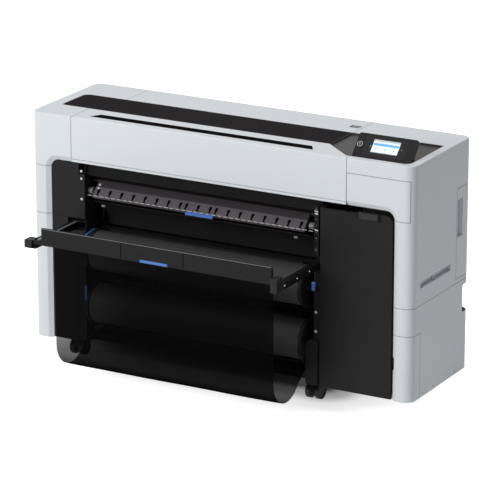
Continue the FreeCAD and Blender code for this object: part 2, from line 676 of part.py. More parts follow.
def right_upper_cover(stock):
    """Right end cap: roof round the control well, front corner, side wall with carry recess."""
    z = (RIGHT_SEAM_Z, TOP)
    head = ((RIGHT_COVER_SEAM_X, RIGHT_END), (-OUT, CREASE_Y + OUT), (LEFT_UPPER_SEAM_Z, TOP))
    column = ((COLUMN_RIGHT, RIGHT_END), WHOLE_Y, z)
    rear = ((REAR_SEAM_RIGHT_X, RIGHT_END), (CREASE_Y, CABINET_DEPTH + OUT), (LEFT_UPPER_SEAM_Z, TOP))
    shell, hollow = carry_recess()
    cover = cut_cover(stock, [head, column, rear]).fuse(shell).cut(hollow)
    door = box((ACCESS_X[0] - SEAM, ACCESS_X[1] + SEAM), (-OUT, ACCESS_DEPTH),
               (ACCESS_Z[0] - SEAM, ACCESS_Z[1] + SEAM))
    side = box((SIDE_DOOR_EDGE_X - SEAM, RIGHT_END), (SIDE_DOOR_Y - SEAM, CABINET_DEPTH + OUT),
               (SIDE_DOOR_Z[0] - SEAM, SIDE_DOOR_Z[1] + SEAM))
    return largest(cover.cut(door).cut(side))


def right_lower_cover(stock):
    """Lower right side wall with a cable notch in its rear edge and three small plug holes."""
    wall = cut_cover(stock, [((COLUMN_RIGHT, RIGHT_END), WHOLE_Y, (BOTTOM, RIGHT_SEAM_Z))])
    corner = box((COLUMN_RIGHT - OUT, RIGHT_END), (-OUT, CORNER_COVER_DEPTH), (0.0, CORNER_COVER_TOP))
    notch = box((SIDE_DOOR_EDGE_X, RIGHT_END), (REAR_NOTCH_Y, CABINET_DEPTH + OUT), REAR_NOTCH_Z)
    notch = fillet_where(notch, NOTCH_R, lambda a, b: along_x(a, b) and a.y < CABINET_DEPTH)
    holes = [rod_x((HALF - 2.0 * SKIN, RIGHT_END), y, PLUG_HOLE_Z, PLUG_HOLE_R) for y in PLUG_HOLES_Y]
    return largest(wall.cut(corner).cut(notch).cut(Part.makeCompound(holes)))


def right_corner_cover(stock):
    """Small front corner cover at the foot of the right column, with a finger notch."""
    block = ((COLUMN_RIGHT, RIGHT_END), (-OUT, CORNER_COVER_DEPTH - HALF_SEAM),
             (BOTTOM, CORNER_COVER_TOP - HALF_SEAM))
    cover = cut_cover(stock, [block])
    notch = rod_z(FINGER_NOTCH_Z, OPENING_RIGHT, BEVEL_DEPTH, FINGER_NOTCH_R)
    return cover.cut(notch)


def front_cover(stock):
    """Lifting front cover: front face, roof strip, folded lower lip and the seat of the view strip."""
    block = ((LEFT_COVER_SEAM_X, RIGHT_COVER_SEAM_X), (-OUT, CREASE_Y), (FRONT_COVER_BOTTOM, TOP))
    shell = cabinet_skin().cut(roof_cutter())
    cover = cut_cover(shell, [block])
    x = (LEFT_COVER_SEAM_X + HALF_SEAM, RIGHT_COVER_SEAM_X - HALF_SEAM)
    low = FRONT_COVER_BOTTOM + HALF_SEAM
    lip = box(x, (SKIN / 2.0, LIP_DEPTH), (low, low + SKIN))
    upturn = box(x, (LIP_DEPTH - SKIN, LIP_DEPTH), (low, low + LIP_UPTURN))
    groove = box((x[0] - OVER, x[1] + OVER), (-OVER, SKIN / 3.0), (LIP_GROOVE_Z, LIP_GROOVE_Z + LIP_GROOVE))
    return fuse([cover, lip, upturn]).cut(groove).cut(view_strip(FIT))


def view_strip(grow=0.0):
    """Narrow dark light strip let into the front cover, with slanted ends."""
    outline = [
        (STRIP_X[0] - grow, STRIP_Y[0] - grow),
        (STRIP_X[1] + grow, STRIP_Y[0] - grow),
        (STRIP_X[1] - STRIP_SLANT + grow, STRIP_Y[1] + grow),
        (STRIP_X[0] + STRIP_SLANT - grow, STRIP_Y[1] + grow),
    ]
    return profile_z(outline, (ROOF_Z - STRIP_THICKNESS, ROOF_Z + grow))


def rear_covers(stock):
    """Roof rear strip with the upper back, and the flat lower back panel with its vents."""
    middle = (REAR_SEAM_LEFT_X, REAR_SEAM_RIGHT_X)
    upper = cut_cover(stock, [(middle, (WINDOW_REAR - OUT, CABINET_DEPTH + OUT), (LEFT_UPPER_SEAM_Z, TOP))])
    vent = box(ROOF_VENT_X, ROOF_VENT_Y, (ROOF_Z - 2.0 * SKIN, TOP))
    bars = []
    for i in range(1, ROOF_VENT_BARS + 1):
        x = ROOF_VENT_X[0] + ROOF_VENT_PITCH * i
        bars.append(box((x, x + ROOF_VENT_BAR), ROOF_VENT_Y, (ROOF_Z - 2.0 * SKIN, ROOF_Z - WINDOW_SINK)))
    upper = upper.cut(vent.cut(Part.makeCompound(bars)))
    back = (CABINET_DEPTH - BACK_PANEL_DEPTH, CABINET_DEPTH + OUT)
    lower = cut_cover(stock, [((COLUMN_LEFT, COLUMN_RIGHT), back, (BOTTOM, LEFT_UPPER_SEAM_Z))])
    through = (CABINET_DEPTH - OUT, CABINET_DEPTH + OVER)
    slots = []
    for i in range(BACK_VENT_COUNT):
        z = BACK_VENT_Z + BACK_VENT_PITCH * i
        slots.append(box(BACK_VENT_X, through, (z, z + BACK_VENT_HEIGHT)))
    inlet = box((INLET_X - FIT, INLET_X + INLET_SIZE[0] + FIT), through,
                (INLET_Z - FIT, INLET_Z + INLET_SIZE[1] + FIT))
    lower = lower.cut(Part.makeCompound(slots)).cut(inlet)
    return Part.makeCompound([largest(upper), largest(lower)])


# ---------------------------------------------------------------- roof: window, well and panel
def roof_window():
    """Smoked window over the carriage, in two panes with lips that rest on the roof beams."""
    z = (ROOF_Z - WINDOW_SINK - WINDOW_THICKNESS, ROOF_Z - WINDOW_SINK)
    pane = profile_z(window_outline(0.0), z)
    lips = []
    for y0, y1 in ROOF_BEAM_Y:
        middle = (y0 + y1) / 2.0
        lip_y = (middle - WINDOW_LIP / 2.0, middle + WINDOW_LIP / 2.0)
        lips.append(box((WINDOW_LEFT + 2.0 * OUT, WELL_LEFT - OUT), lip_y,
                        (ROOF_BEAM_Z[1] + FIT, z[0] + OVER)))
    pane = fuse([pane] + lips)
    tall = (ROOF_BEAM_Z[1], ROOF_Z)
    left = pane.common(box((LEFT_END, WINDOW_SEAM_X - HALF_SEAM), WHOLE_Y, tall))
    right = pane.common(box((WINDOW_SEAM_X + HALF_SEAM, RIGHT_END), WHOLE_Y, tall))
    return Part.makeCompound([left, right])


def panel_point(u, t):
    """Point (y, z) of the panel: u up its face, t in from it."""
    angle = math.radians(PANEL_TILT)
    y = PANEL_FOOT_Y + u * math.cos(angle) + t * math.sin(angle)
    z = PANEL_FOOT_Z + u * math.sin(angle) - t * math.cos(angle)
    return y, z


def panel_block(x, u, t):
    """Box in the panel's own tilted directions."""
    corners = [panel_point(u[0], t[0]), panel_point(u[1], t[0]),
               panel_point(u[1], t[1]), panel_point(u[0], t[1])]
    return profile_x(corners, x)


def control_well():
    """Dark tray in the roof with a deeper pit at its front and the ears the panel turns in."""
    top = ROOF_Z - WINDOW_SINK
    shell = profile_z(well_outline(0.0), (WELL_FLOOR_Z - WELL_WALL, top))
    shell = shell.cut(profile_z(well_outline(-WELL_WALL), (WELL_FLOOR_Z, top + OVER)))
    pit_x = (PANEL_X[0] - PIVOT_R, WELL_RIGHT - WELL_WALL)
    pit_y = (WELL_FRONT + WELL_WALL, PIT_REAR)
    pit_z = WELL_FLOOR_Z - PIT_DEPTH
    pit = box((pit_x[0] - WELL_WALL, pit_x[1]), (pit_y[0] - WELL_WALL, pit_y[1] + WELL_WALL),
              (pit_z - WELL_WALL, WELL_FLOOR_Z))
    tall = (pit_z - 2.0 * WELL_WALL, top + OVER)
    inside = profile_z(well_outline(-WELL_WALL), tall)
    outside = profile_z(well_outline(0.0), tall)
    hollow = box(pit_x, pit_y, (pit_z, WELL_FLOOR_Z + OVER)).common(inside)
    well = fuse([shell, pit.common(outside)]).cut(hollow)
    y, z = panel_point(PANEL_PIVOT_U, PANEL_PIVOT_T)
    ears = []
    for x in (KNUCKLE_X[0] - FIT - EAR_WIDTH, KNUCKLE_X[1] + FIT):
        span = (x, x + EAR_WIDTH)
        foot = box(span, (y - KNUCKLE_R, y + KNUCKLE_R), (pit_z - FIT, z))
        ears.append(foot.fuse(rod_x(span, y, z, KNUCKLE_R)))
    well = fuse([well] + ears)
    return largest(well.cut(rod_x((KNUCKLE_X[0] - OUT, KNUCKLE_X[1] + OUT), y, z, PIVOT_R + RUNNING)))


def control_panel():
    """Tilting housing with a knuckle and hinge pin at its foot, and seats for glass and button."""
    body = panel_block(PANEL_X, (0.0, PANEL_LENGTH), (0.0, PANEL_THICKNESS))
    for x, radius in ((PANEL_X[0], PANEL_LEFT_R), (PANEL_X[1], PANEL_RIGHT_R)):
        ends = [e for e in body.Edges if abs(e.Length - PANEL_THICKNESS) < 1e-3
                and all(abs(v.X - x) < 1e-3 for v in e.Vertexes)]
        body = body.makeFillet(radius, ends)
    y, z = panel_point(PANEL_PIVOT_U, PANEL_PIVOT_T)
    knuckle = rod_x(KNUCKLE_X, y, z, KNUCKLE_R)
    web = panel_block(KNUCKLE_X, (PANEL_PIVOT_U - PIVOT_R, PANEL_PIVOT_U + KNUCKLE_R),
                      (PANEL_THICKNESS - OVER, PANEL_PIVOT_T))
    pin = rod_x((KNUCKLE_X[0] - EAR_WIDTH, KNUCKLE_X[1] + EAR_WIDTH), y, z, PIVOT_R)
    screen = panel_block((SCREEN_X[0] - FIT, SCREEN_X[1] + FIT), (SCREEN_U[0] - FIT, SCREEN_U[1] + FIT),
                         (-OVER, SCREEN_THICKNESS))
    bore = panel_rod(BUTTON_X, BUTTON_U, -OVER, BUTTON_HEIGHT + BUTTON_TRAVEL, BUTTON_R + FIT)
    return largest(fuse([body, knuckle, web, pin]).cut(screen).cut(bore))


def panel_rod(x, u, t0, t1, radius):
    """Round bar square to the panel's face."""
    y, z = panel_point(u, t1)
    angle = math.radians(PANEL_TILT)
    return Part.makeCylinder(radius, t1 - t0, V(x, y, z), V(0, -math.sin(angle), math.cos(angle)))


def control_screen():
    """Glass touch screen let into the panel's face."""
    return panel_block(SCREEN_X, SCREEN_U, (0.0, SCREEN_THICKNESS))


def power_button():
    """Round power button that travels into the panel."""
    body = panel_rod(BUTTON_X, BUTTON_U, -BUTTON_PROUD, BUTTON_HEIGHT - BUTTON_PROUD, BUTTON_R)
    rim = [e for e in body.Edges if e.Closed]
    front = max(rim, key=lambda e: e.BoundBox.Center.z)
    return body.makeFillet(BUTTON_PROUD * 0.4, [front])


# ---------------------------------------------------------------- doors
def access_door(stock):
    """Front door at the upper right, over the carriage's parking place."""
    return largest(stock.common(box(ACCESS_X, (-OUT, ACCESS_DEPTH), ACCESS_Z)))


def side_door(stock):
    """Rear corner door in the right side, with a recessed pull."""
    door = stock.common(box((SIDE_DOOR_EDGE_X, RIGHT_END), (SIDE_DOOR_Y, CABINET_DEPTH + OUT), SIDE_DOOR_Z))
    inner = HALF - RECESS_DEPTH
    pocket = box((inner - SKIN, HALF - OVER), (HANDLE_Y[0] - SKIN, HANDLE_Y[1] + SKIN),
                 (HANDLE_Z[0] - SKIN, HANDLE_Z[1] + SKIN))
    hollow = box((inner, RIGHT_END), HANDLE_Y, HANDLE_Z)
    return largest(largest(door).fuse(pocket).cut(hollow))


def ink_door():
    """Black door of the ink cabinet: raised finger recess at its top right, hinge pins at the left."""
    right = OPENING_RIGHT - INK_DOOR_GAP
    x = (INK_DOOR_LEFT, right)
    z = (INK_DOOR_BOTTOM, INK_DOOR_TOP + INK_DOOR_RISE)
    slab = box(x, (0.0, INK_DOOR_DEPTH), z)
    middle_x = (x[0] + x[1]) / 2.0
    middle_z = (z[0] + z[1]) / 2.0
    slab = fillet_where(slab, OPENING_CORNER_R - INK_DOOR_GAP,
                        lambda a, b: along_y(a, b) and a.x > middle_x and a.z > middle_z)
    outer = [e for e in slab.Edges if e.BoundBox.YMax < RUNNING]
    slab = slab.makeFillet(INK_DOOR_EDGE_R, outer)
    step = box((x[0] - OVER, FINGER_X), (-OVER, INK_DOOR_DEPTH + OVER), (INK_DOOR_TOP, z[1] + OVER))
    recess = box((FINGER_X, right + OVER), (-OVER, FINGER_SINK), (INK_DOOR_TOP - FINGER_DEPTH, z[1] + OVER))
    slab = slab.cut(step).cut(recess)
    pins = []
    for end in (INK_DOOR_BOTTOM, INK_DOOR_TOP):
        pins.append(rod_z((end - HINGE_TAB, end + HINGE_TAB), INK_DOOR_PIVOT_X, INK_DOOR_PIVOT_Y,
                          HINGE_PIN_R))
    return largest(fuse([slab] + pins))


# ---------------------------------------------------------------- steel structure
def base_frame():
    """Welded base of steel tube: folded guard under the roll, casters' swivel seats, ink cabinet's floor."""
    z = (BASE_BOTTOM, BASE_TOP)
    half = TUBE_WIDTH / 2.0
    inner_y = (BASE_FRONT_Y - half, BASE_REAR_Y + half)
    runs = [(BASE_X, (y - half, y + half), "x") for y in (BASE_FRONT_Y, BASE_REAR_Y)]
    runs += [((x - half, x + half), (inner_y[0], FRAME_REAR_Y - OUT), "y") for x in CASTER_X]
    runs += [(x, inner_y, "y") for x in (POST_LEFT_X, POST_RIGHT_X)]
    solid = fuse([box(x, y, z) for x, y, way in runs])
    inner_z = (z[0] + PLATE, z[1] - PLATE)
    for x, y, way in runs:
        if way == "x":
            hole = box((x[0] - OVER, x[1] + OVER), (y[0] + PLATE, y[1] - PLATE), inner_z)
        else:
            hole = box((x[0] + PLATE, x[1] - PLATE), (y[0] + PLATE, y[1] + OVER), inner_z)
        solid = solid.cut(hole)
    guard_x = (FRAME_LEFT_X + PLATE + FIT, FRAME_RIGHT_X - PLATE - FIT)
    extras = [box((FRAME_RIGHT_X, BASE_X[1]), PAN_Y, (z[1] - OVER, z[1] + PLATE)),
              box(guard_x, (inner_y[0], inner_y[0] + PLATE), (z[1] - OVER, ROLL_GUARD_TOP)),
              box(guard_x, (inner_y[0], inner_y[0] + TUBE_WIDTH), (ROLL_GUARD_TOP - PLATE, ROLL_GUARD_TOP))]
    for x in CASTER_X:
        for y in CASTER_Y:
            extras.append(rod_z((SWIVEL_SEAT_Z, z[1] - OVER), x, y, SWIVEL_SEAT_R))
    solid = fuse([solid] + extras)
    for x in CASTER_X:
        for y in CASTER_Y:
            solid = solid.cut(rod_z((SWIVEL_SEAT_Z - OVER, SWIVEL_SEAT_Z + OUT), x, y, SWIVEL_R + RUNNING))
    return largest(solid)


def upper_frame():
    """Four posts on the base, tied by two beams and two short ties under the roof."""
    parts = []
    for x, foot in ((POST_LEFT_X, BASE_TOP), (POST_RIGHT_X, BASE_TOP + PLATE)):
        for y in ROOF_BEAM_Y:
            parts.append(box(x, y, (foot, ROOF_BEAM_Z[0] + OVER)))
        parts.append(box(x, (ROOF_BEAM_Y[0][0], ROOF_BEAM_Y[1][1]), ROOF_BEAM_Z))
    for y in ROOF_BEAM_Y:
        parts.append(box((POST_LEFT_X[0], POST_RIGHT_X[1]), y, ROOF_BEAM_Z))
    return fuse(parts)


def side_plate_outline():
    """Outline (y, z) of a side plate, with the notch that the carriage passes through."""
    top = RAIL_Z[0] - RAIL_SEAT
    toe = BASE_FRONT_Y - TUBE_WIDTH / 2.0 - PLATE
    low = FLOOR_GAP + FIT
    return [
        (FRAME_FRONT_Y, low), (toe, low), (toe, BASE_TOP), (FRAME_REAR_Y, BASE_TOP), (FRAME_REAR_Y, top),
        (STEP_Y, top), (STEP_Y, STEP_Z), (NOTCH_REAR_Y, STEP_Z), (NOTCH_REAR_Y, NOTCH_Z),
        (NOTCH_FRONT_Y, NOTCH_Z), (NOTCH_FRONT_Y, FRONT_BEAM_Z[1]), (FRAME_FRONT_Y, FRONT_BEAM_Z[1]),
    ]


def arm_channel(arm_x, plate_x):
    """Fixed channel that an arm slides in, tied to its side plate, and the ways cut through it."""
    inner_x = (arm_x[0] - FIT, arm_x[1] + FIT)
    inner_z = (ARM_BOTTOM - FIT, ARM_BOTTOM + ARM_HEIGHT + FIT)
    x = (min(inner_x[0] - PLATE, plate_x), max(inner_x[1] + PLATE, plate_x))
    through = (FRAME_FRONT_Y - OVER, CHANNEL_REAR_Y + OVER)
    ways = [box(inner_x, through, inner_z)]
    if plate_x > inner_x[1] + 3.0 * PLATE:
        ways.append(box((inner_x[1] + PLATE, plate_x - FIT), through, inner_z))
    return box(x, (FRAME_FRONT_Y, CHANNEL_REAR_Y), (inner_z[0] - PLATE, inner_z[1] + PLATE)), ways


def lever_lug(pivot):
    """Small ear on the left side plate that carries a lever's pin."""
    x = (TRIM_RIGHT + FIT, LEFT_LEVER_X[0] - FIT)
    y, z = pivot
    half = LEVER_WIDTH / 2.0
    rear = FRAME_FRONT_Y + LUG_DEPTH
    ear = box(x, (y - half, rear), (z - half, z + half))
    root = box((FRAME_LEFT_X + PLATE, x[1]), (FRAME_FRONT_Y + 2.0 * OVER, rear), (z - half, z + half))
    return [ear, root, rod_x((x[0], LEFT_LEVER_X[1]), y, z, LEVER_PIN_R)]


def door_tabs(plate_x):
    """Two steel tabs that the ink door's pins turn in."""
    rear = BASE_FRONT_Y - TUBE_WIDTH / 2.0 - PLATE
    tabs = []
    for z in (INK_DOOR_BOTTOM - FIT - HINGE_TAB, INK_DOOR_TOP + FIT):
        tab = box((plate_x, INK_DOOR_PIVOT_X + HINGE_TAB_END), (INK_DOOR_PIVOT_Y - 2.0 * HINGE_PIN_R, rear),
                  (z, z + HINGE_TAB))
        bore = rod_z((z - OVER, z + HINGE_TAB + OVER), INK_DOOR_PIVOT_X, INK_DOOR_PIVOT_Y,
                     HINGE_PIN_R + RUNNING)
        tabs.append(tab.cut(bore))
    return tabs


def side_frame(side):
    """Side plate with roll cradles, lever ears, door tabs, arm channel and shaft bores."""
    if side == "left":
        plate_x = (FRAME_LEFT_X, FRAME_LEFT_X + PLATE)
        seat_x = (plate_x[1], plate_x[1] + CRADLE_LEFT)
        channel, ways = arm_channel(LEFT_ARM_X, FRAME_LEFT_X)
        extras = lever_lug(LOWER_LEFT_PIVOT) + lever_lug(UPPER_LEFT_PIVOT)
    else:
        plate_x = (FRAME_RIGHT_X - PLATE, FRAME_RIGHT_X)
        seat_x = (plate_x[0] - CRADLE_RIGHT, plate_x[0])
        channel, ways = arm_channel(RIGHT_ARM_X, plate_x[0])
        extras = door_tabs(plate_x[0])
    parts = [profile_x(side_plate_outline(), plate_x), channel] + extras
    seat_y = (ROLL_Y - HUB_R - CRADLE_WALL, ROLL_Y + HUB_R + CRADLE_WALL)
    for z in ROLL_Z.values():
        seat = box(seat_x, seat_y, (z - HUB_R - CRADLE_LEFT, z))
        parts.append(seat.cut(rod_x((seat_x[0] - OVER, seat_x[1] + OVER), ROLL_Y, z, HUB_R + FIT)))
    frame = fuse(parts)
    for way in ways:
        frame = frame.cut(way)
    bores = [(FEED_Y, PLATEN_TOP - FEED_R, FEED_SHAFT_R), (FEED_Y, PINCH_Z, PINCH_SHAFT_R)]
    bores.append(guide_hinge() + (GUIDE_PIN_R,))
    for y, z, radius in bores:
        frame = frame.cut(rod_x((plate_x[0] - OVER, plate_x[1] + OVER), y, z, radius + RUNNING))
    return largest(frame)


def side_frames():
    """Pair of welded side plates of the bay."""
    return Part.makeCompound([side_frame("left"), side_frame("right")])


def roll_saddle(z):
    """Beam behind the top of a roll, with a slanted pad that the curved cover turns under."""
    x = (FRAME_LEFT_X + PLATE, FRAME_RIGHT_X - PLATE)
    beam = box(x, SADDLE_Y, (z + SADDLE_RISE[0], z + SADDLE_RISE[1]))
    angle = math.radians(SADDLE_ANGLE)
    corners = []
    for along, out in ((PAD_REACH[0], 0.0), (PAD_REACH[1], 0.0), (PAD_REACH[1], PAD_THICKNESS),
                       (PAD_REACH[0], PAD_THICKNESS)):
        radius = COVER_R + FIT + out
        corners.append((ROLL_Y + radius * math.cos(angle) + along * math.sin(angle),
                        z + radius * math.sin(angle) - along * math.cos(angle)))
    pad = profile_x(corners, (COVER_X[0] + PAD_INSET, COVER_X[1] - PAD_INSET))
    return fuse([beam, pad])


def cross_beams():
    """Beams between the side plates: front beam, two roll saddles, rear plate and rail carrier."""
    x = (FRAME_LEFT_X + PLATE, FRAME_RIGHT_X - PLATE)
    front = box(x, FRONT_BEAM_Y, FRONT_BEAM_Z)
    front = front.cut(box((x[0] - OVER, x[1] + OVER), (FRONT_BEAM_Y[0] + PLATE, FRONT_BEAM_Y[1] + OVER),
                          (FRONT_BEAM_Z[0] + PLATE, FRONT_BEAM_Z[1] - PLATE)))
    rear = box(x, (BOX_Y[0] - 2.0 * PLATE, BOX_Y[0] - PLATE), (BASE_TOP, STEP_Z))
    whole = (-RAIL_X - OVER, RAIL_X + OVER)
    above = (RAIL_Z[0], RAIL_Z[1] + OVER)
    rear_y = RAIL_Y[1] + TUBE
    carrier = box((-RAIL_X, RAIL_X), (RAIL_Y[0], rear_y), (RAIL_Z[0] - RAIL_SEAT, RAIL_Z[1]))
    carrier = carrier.cut(box(whole, (RAIL_Y[0] - OVER, RAIL_Y[1]), above))
    carrier = carrier.cut(box(whole, (RAIL_Y[1] + PLATE, rear_y + OVER), above))
    return Part.makeCompound([front, rear, carrier] + [roll_saddle(z) for z in ROLL_Z.values()])


# ---------------------------------------------------------------- casters
def caster_yoke(x, y):
    """Swivelling fork between the twin wheels, with a hood over them and its pin in the base."""
    axle_y = y + CASTER_TRAIL
    half = (WHEEL_SPACING - WHEEL_WIDTH) / 2.0 - OVER
    top = SWIVEL_SEAT_Z - FIT
    disc = rod_z((top - SWIVEL_R, top), x, y, SWIVEL_SEAT_R - 2.0 * OVER)
    pin = rod_z((top - SWIVEL_R / 2.0, SWIVEL_SEAT_Z + SWIVEL_PIN), x, y, SWIVEL_R)
    low = WHEEL_R - 2.0 * AXLE_R
    web_top = top - SWIVEL_R + 2.0 * OVER
    web = profile_x([(y - YOKE_HEAD, web_top), (y + YOKE_HEAD, web_top),
                     (axle_y + YOKE_FOOT, WHEEL_R + SWIVEL_PIN),
                     (axle_y + YOKE_FOOT, low), (axle_y - YOKE_FOOT, low)], (x - half, x + half))
    span = (x - WHEEL_SPACING / 2.0, x + WHEEL_SPACING / 2.0)
    hood = rod_x(span, axle_y, WHEEL_R, WHEEL_R + HOOD_GAP + HOOD_WALL)
    hood = hood.cut(rod_x((span[0] - OVER, span[1] + OVER), axle_y, WHEEL_R, WHEEL_R + HOOD_GAP))
    hood = hood.common(box((span[0] - OVER, span[1] + OVER),
                           (axle_y - 2.0 * CASTER_TRAIL, axle_y + SWIVEL_SEAT_R),
                           (WHEEL_R + 3.0 * HOOD_WALL, top)))
    yoke = fuse([disc, pin, web, hood])
    return largest(yoke.cut(rod_x((x - half - OVER, x + half + OVER), axle_y, WHEEL_R, AXLE_R + RUNNING)))


def caster_wheels(x, y):
    """Twin wheels on one axle."""
    axle_y = y + CASTER_TRAIL
    parts = [rod_x((x - WHEEL_SPACING / 2.0, x + WHEEL_SPACING / 2.0), axle_y, WHEEL_R, AXLE_R)]
    for side in (-1.0, 1.0):
        centre = x + side * WHEEL_SPACING / 2.0
        outer = centre + side * WHEEL_WIDTH / 2.0
        wheel = rod_x((centre - WHEEL_WIDTH / 2.0, centre + WHEEL_WIDTH / 2.0), axle_y, WHEEL_R, WHEEL_R)
        wheel = wheel.makeFillet(WHEEL_EDGE_R, [e for e in wheel.Edges if e.Closed])
        dish = sorted((outer - side * WHEEL_DISH, outer + side * OVER))
        parts.append(wheel.cut(rod_x(dish, axle_y, WHEEL_R, WHEEL_R - WHEEL_RIM)))
    return fuse(parts)


# ---------------------------------------------------------------- rolls
def paper_roll(z):
    """Roll of paper on its core."""
    return rod_x(ROLL_X, ROLL_Y, z, ROLL_R).cut(rod_x((-HALF, HALF), ROLL_Y, z, CORE_R))


def roll_adapters(z):
    """Pair of end adapters: flange, spigot into the core, hub that rests in the cradle."""
    solids = []
    for end, out, plate in ((ROLL_X[0], -1.0, FRAME_LEFT_X + PLATE), (ROLL_X[1], 1.0, FRAME_RIGHT_X - PLATE)):
        face = end + out * FIT
        flange = rod_x(sorted((face, face + out * FLANGE_WIDTH)), ROLL_Y, z, FLANGE_R)
        flange = flange.makeFillet(FLANGE_EDGE_R, [e for e in flange.Edges if e.Closed])
        spigot = rod_x(sorted((end - out * SPIGOT, face + out * OVER)), ROLL_Y, z, CORE_R - FIT)
        hub = rod_x(sorted((face, plate - out * FIT)), ROLL_Y, z, HUB_R)
        solids.append(fuse([flange, spigot, hub]))
    return Part.makeCompound(solids)


def roll_cover(z):
    """Curved cover that turns back over its roll."""
    arcs = []
    for radius in (COVER_R, COVER_R - COVER_WALL):
        points = arc_points((ROLL_Y, z), radius, 180.0 + COVER_FROM, 180.0 - COVER_TO, 2)
        arcs.append([V(COVER_X[0], py, pz) for py, pz in points])
    edges = [Part.Arc(*points).toShape() for points in arcs]
    edges.append(Part.makeLine(arcs[0][0], arcs[1][0]))
    edges.append(Part.makeLine(arcs[0][2], arcs[1][2]))
    wire = Part.Wire(Part.__sortEdges__(edges))
    return Part.Face(wire).extrude(V(COVER_X[1] - COVER_X[0], 0, 0))


def roll_lever(x, pivot, length, lean):
    """Blue lever: round boss, flat paddle and rounded tip; lean is its angle above level."""
    y, z = pivot
    boss = rod_x(x, y, z, LEVER_WIDTH / 2.0)
    half = LEVER_WIDTH / 2.0 - OVER
    paddle = box(x, (y, y + length), (z - half, z + half))
    tip = rod_x(x, y + length, z, half)
    lever = fuse([boss, paddle, tip])
    lever.rotate(V(0, y, z), V(1, 0, 0), lean)
    return lever.cut(rod_x((x[0] - OVER, x[1] + OVER), y, z, LEVER_PIN_R + RUNNING))


# ---------------------------------------------------------------- print engine
def platen():
    """Flat bed that the paper lies on, with rows of suction holes and a rounded front edge."""
    bed = box(ENGINE_X, PLATEN_Y, (PLATEN_TOP - PLATEN_THICKNESS, PLATEN_TOP))
    bed = fillet_where(bed, PLATEN_EDGE_R, lambda a, b: along_x(a, b) and a.y < PLATEN_Y[0] + OVER
                       and a.z > PLATEN_TOP - OVER)
    holes = []
    pitch = MEDIA_WIDTH / SUCTION_COUNT
    for i in range(SUCTION_COUNT):
        for y in (PLATEN_Y[0] + SUCTION_ROW, PLATEN_Y[1] - SUCTION_ROW):
            x = PAPER_LEFT + pitch * (i + 0.5)
            holes.append(rod_z((PLATEN_TOP - SUCTION_DEPTH, PLATEN_TOP + OVER), x, y, SUCTION_R))
    foot = box(ENGINE_X, (PLATEN_Y[0] + PLATEN_FOOT_Y[0], PLATEN_Y[0] + PLATEN_FOOT_Y[1]),
               (PLATEN_FOOT_Z, PLATEN_TOP - PLATEN_THICKNESS + OVER))
    return largest(bed.fuse(foot).cut(Part.makeCompound(holes)).removeSplitter())


def feed_roller():
    """Rubber-faced feed shaft that drives the paper."""
    z = PLATEN_TOP - FEED_R
    body = rod_x((ENGINE_X[0] + 2.0 * OVER, ENGINE_X[1] - 2.0 * OVER), FEED_Y, z, FEED_R)
    shaft = rod_x((FRAME_LEFT_X - SHAFT_PROUD, FRAME_RIGHT_X + SHAFT_PROUD), FEED_Y, z, FEED_SHAFT_R)
    return fuse([body, shaft])


def pinch_rollers():
    """Row of small rollers on one thin shaft over the feed roller."""
    parts = [rod_x((FRAME_LEFT_X - SHAFT_PROUD, FRAME_RIGHT_X + SHAFT_PROUD), FEED_Y, PINCH_Z, PINCH_SHAFT_R)]
    pitch = MEDIA_WIDTH / PINCH_COUNT
    for i in range(PINCH_COUNT):
        low = PAPER_LEFT + pitch * (i + 0.5) - PINCH_WIDTH / 2.0
        parts.append(rod_x((low, low + PINCH_WIDTH), FEED_Y, PINCH_Z, PINCH_R))
    return fuse(parts)


def carriage_rail():
    """Straight steel rail across the whole machine, grooved in front."""
    rail = box((-RAIL_X, RAIL_X), RAIL_Y, RAIL_Z)
    groove = box((-RAIL_X - OVER, RAIL_X + OVER), (RAIL_Y[0] - OVER, RAIL_Y[0] + RAIL_GROOVE),
                 (RAIL_Z[0] + RAIL_GROOVE_EDGE, RAIL_Z[1] - RAIL_GROOVE_EDGE))
    return rail.cut(groove)


def carriage():
    """Print carriage: head box, mounting wall and the shoe that runs in the rail's groove."""
    body = box(CARRIAGE_X, CARRIAGE_Y, CARRIAGE_Z)
    body = fillet_where(body, CARRIAGE_TOP_R, lambda a, b: along_x(a, b) and a.z > CARRIAGE_Z[1] - OVER)
    body = fillet_where(body, CARRIAGE_FRONT_R, lambda a, b: upright(a, b) and a.y < CARRIAGE_Y[0] + OVER)
    head = box((CARRIAGE_X[0] + HEAD_X_INSET, CARRIAGE_X[1] - HEAD_X_INSET),
               (CARRIAGE_Y[0] + HEAD_Y_INSET[0], CARRIAGE_Y[1] - HEAD_Y_INSET[1]),
               (CARRIAGE_Z[0] - HEAD_DROP, CARRIAGE_Z[0] + OVER))
    wall = box(CARRIAGE_X, (CARRIAGE_Y[1] - OVER, RAIL_Y[0] - FIT), (RAIL_Z[0] + HEAD_DROP, RAIL_Z[1]))
    shoe = box((CARRIAGE_X[0] + SHOE_INSET, CARRIAGE_X[1] - SHOE_INSET),
               (RAIL_Y[0] - OVER, RAIL_Y[0] + RAIL_GROOVE - FIT),
               (RAIL_Z[0] + RAIL_GROOVE_EDGE + FIT, RAIL_Z[1] - RAIL_GROOVE_EDGE - FIT))
    return largest(fuse([body, head, wall, shoe]))


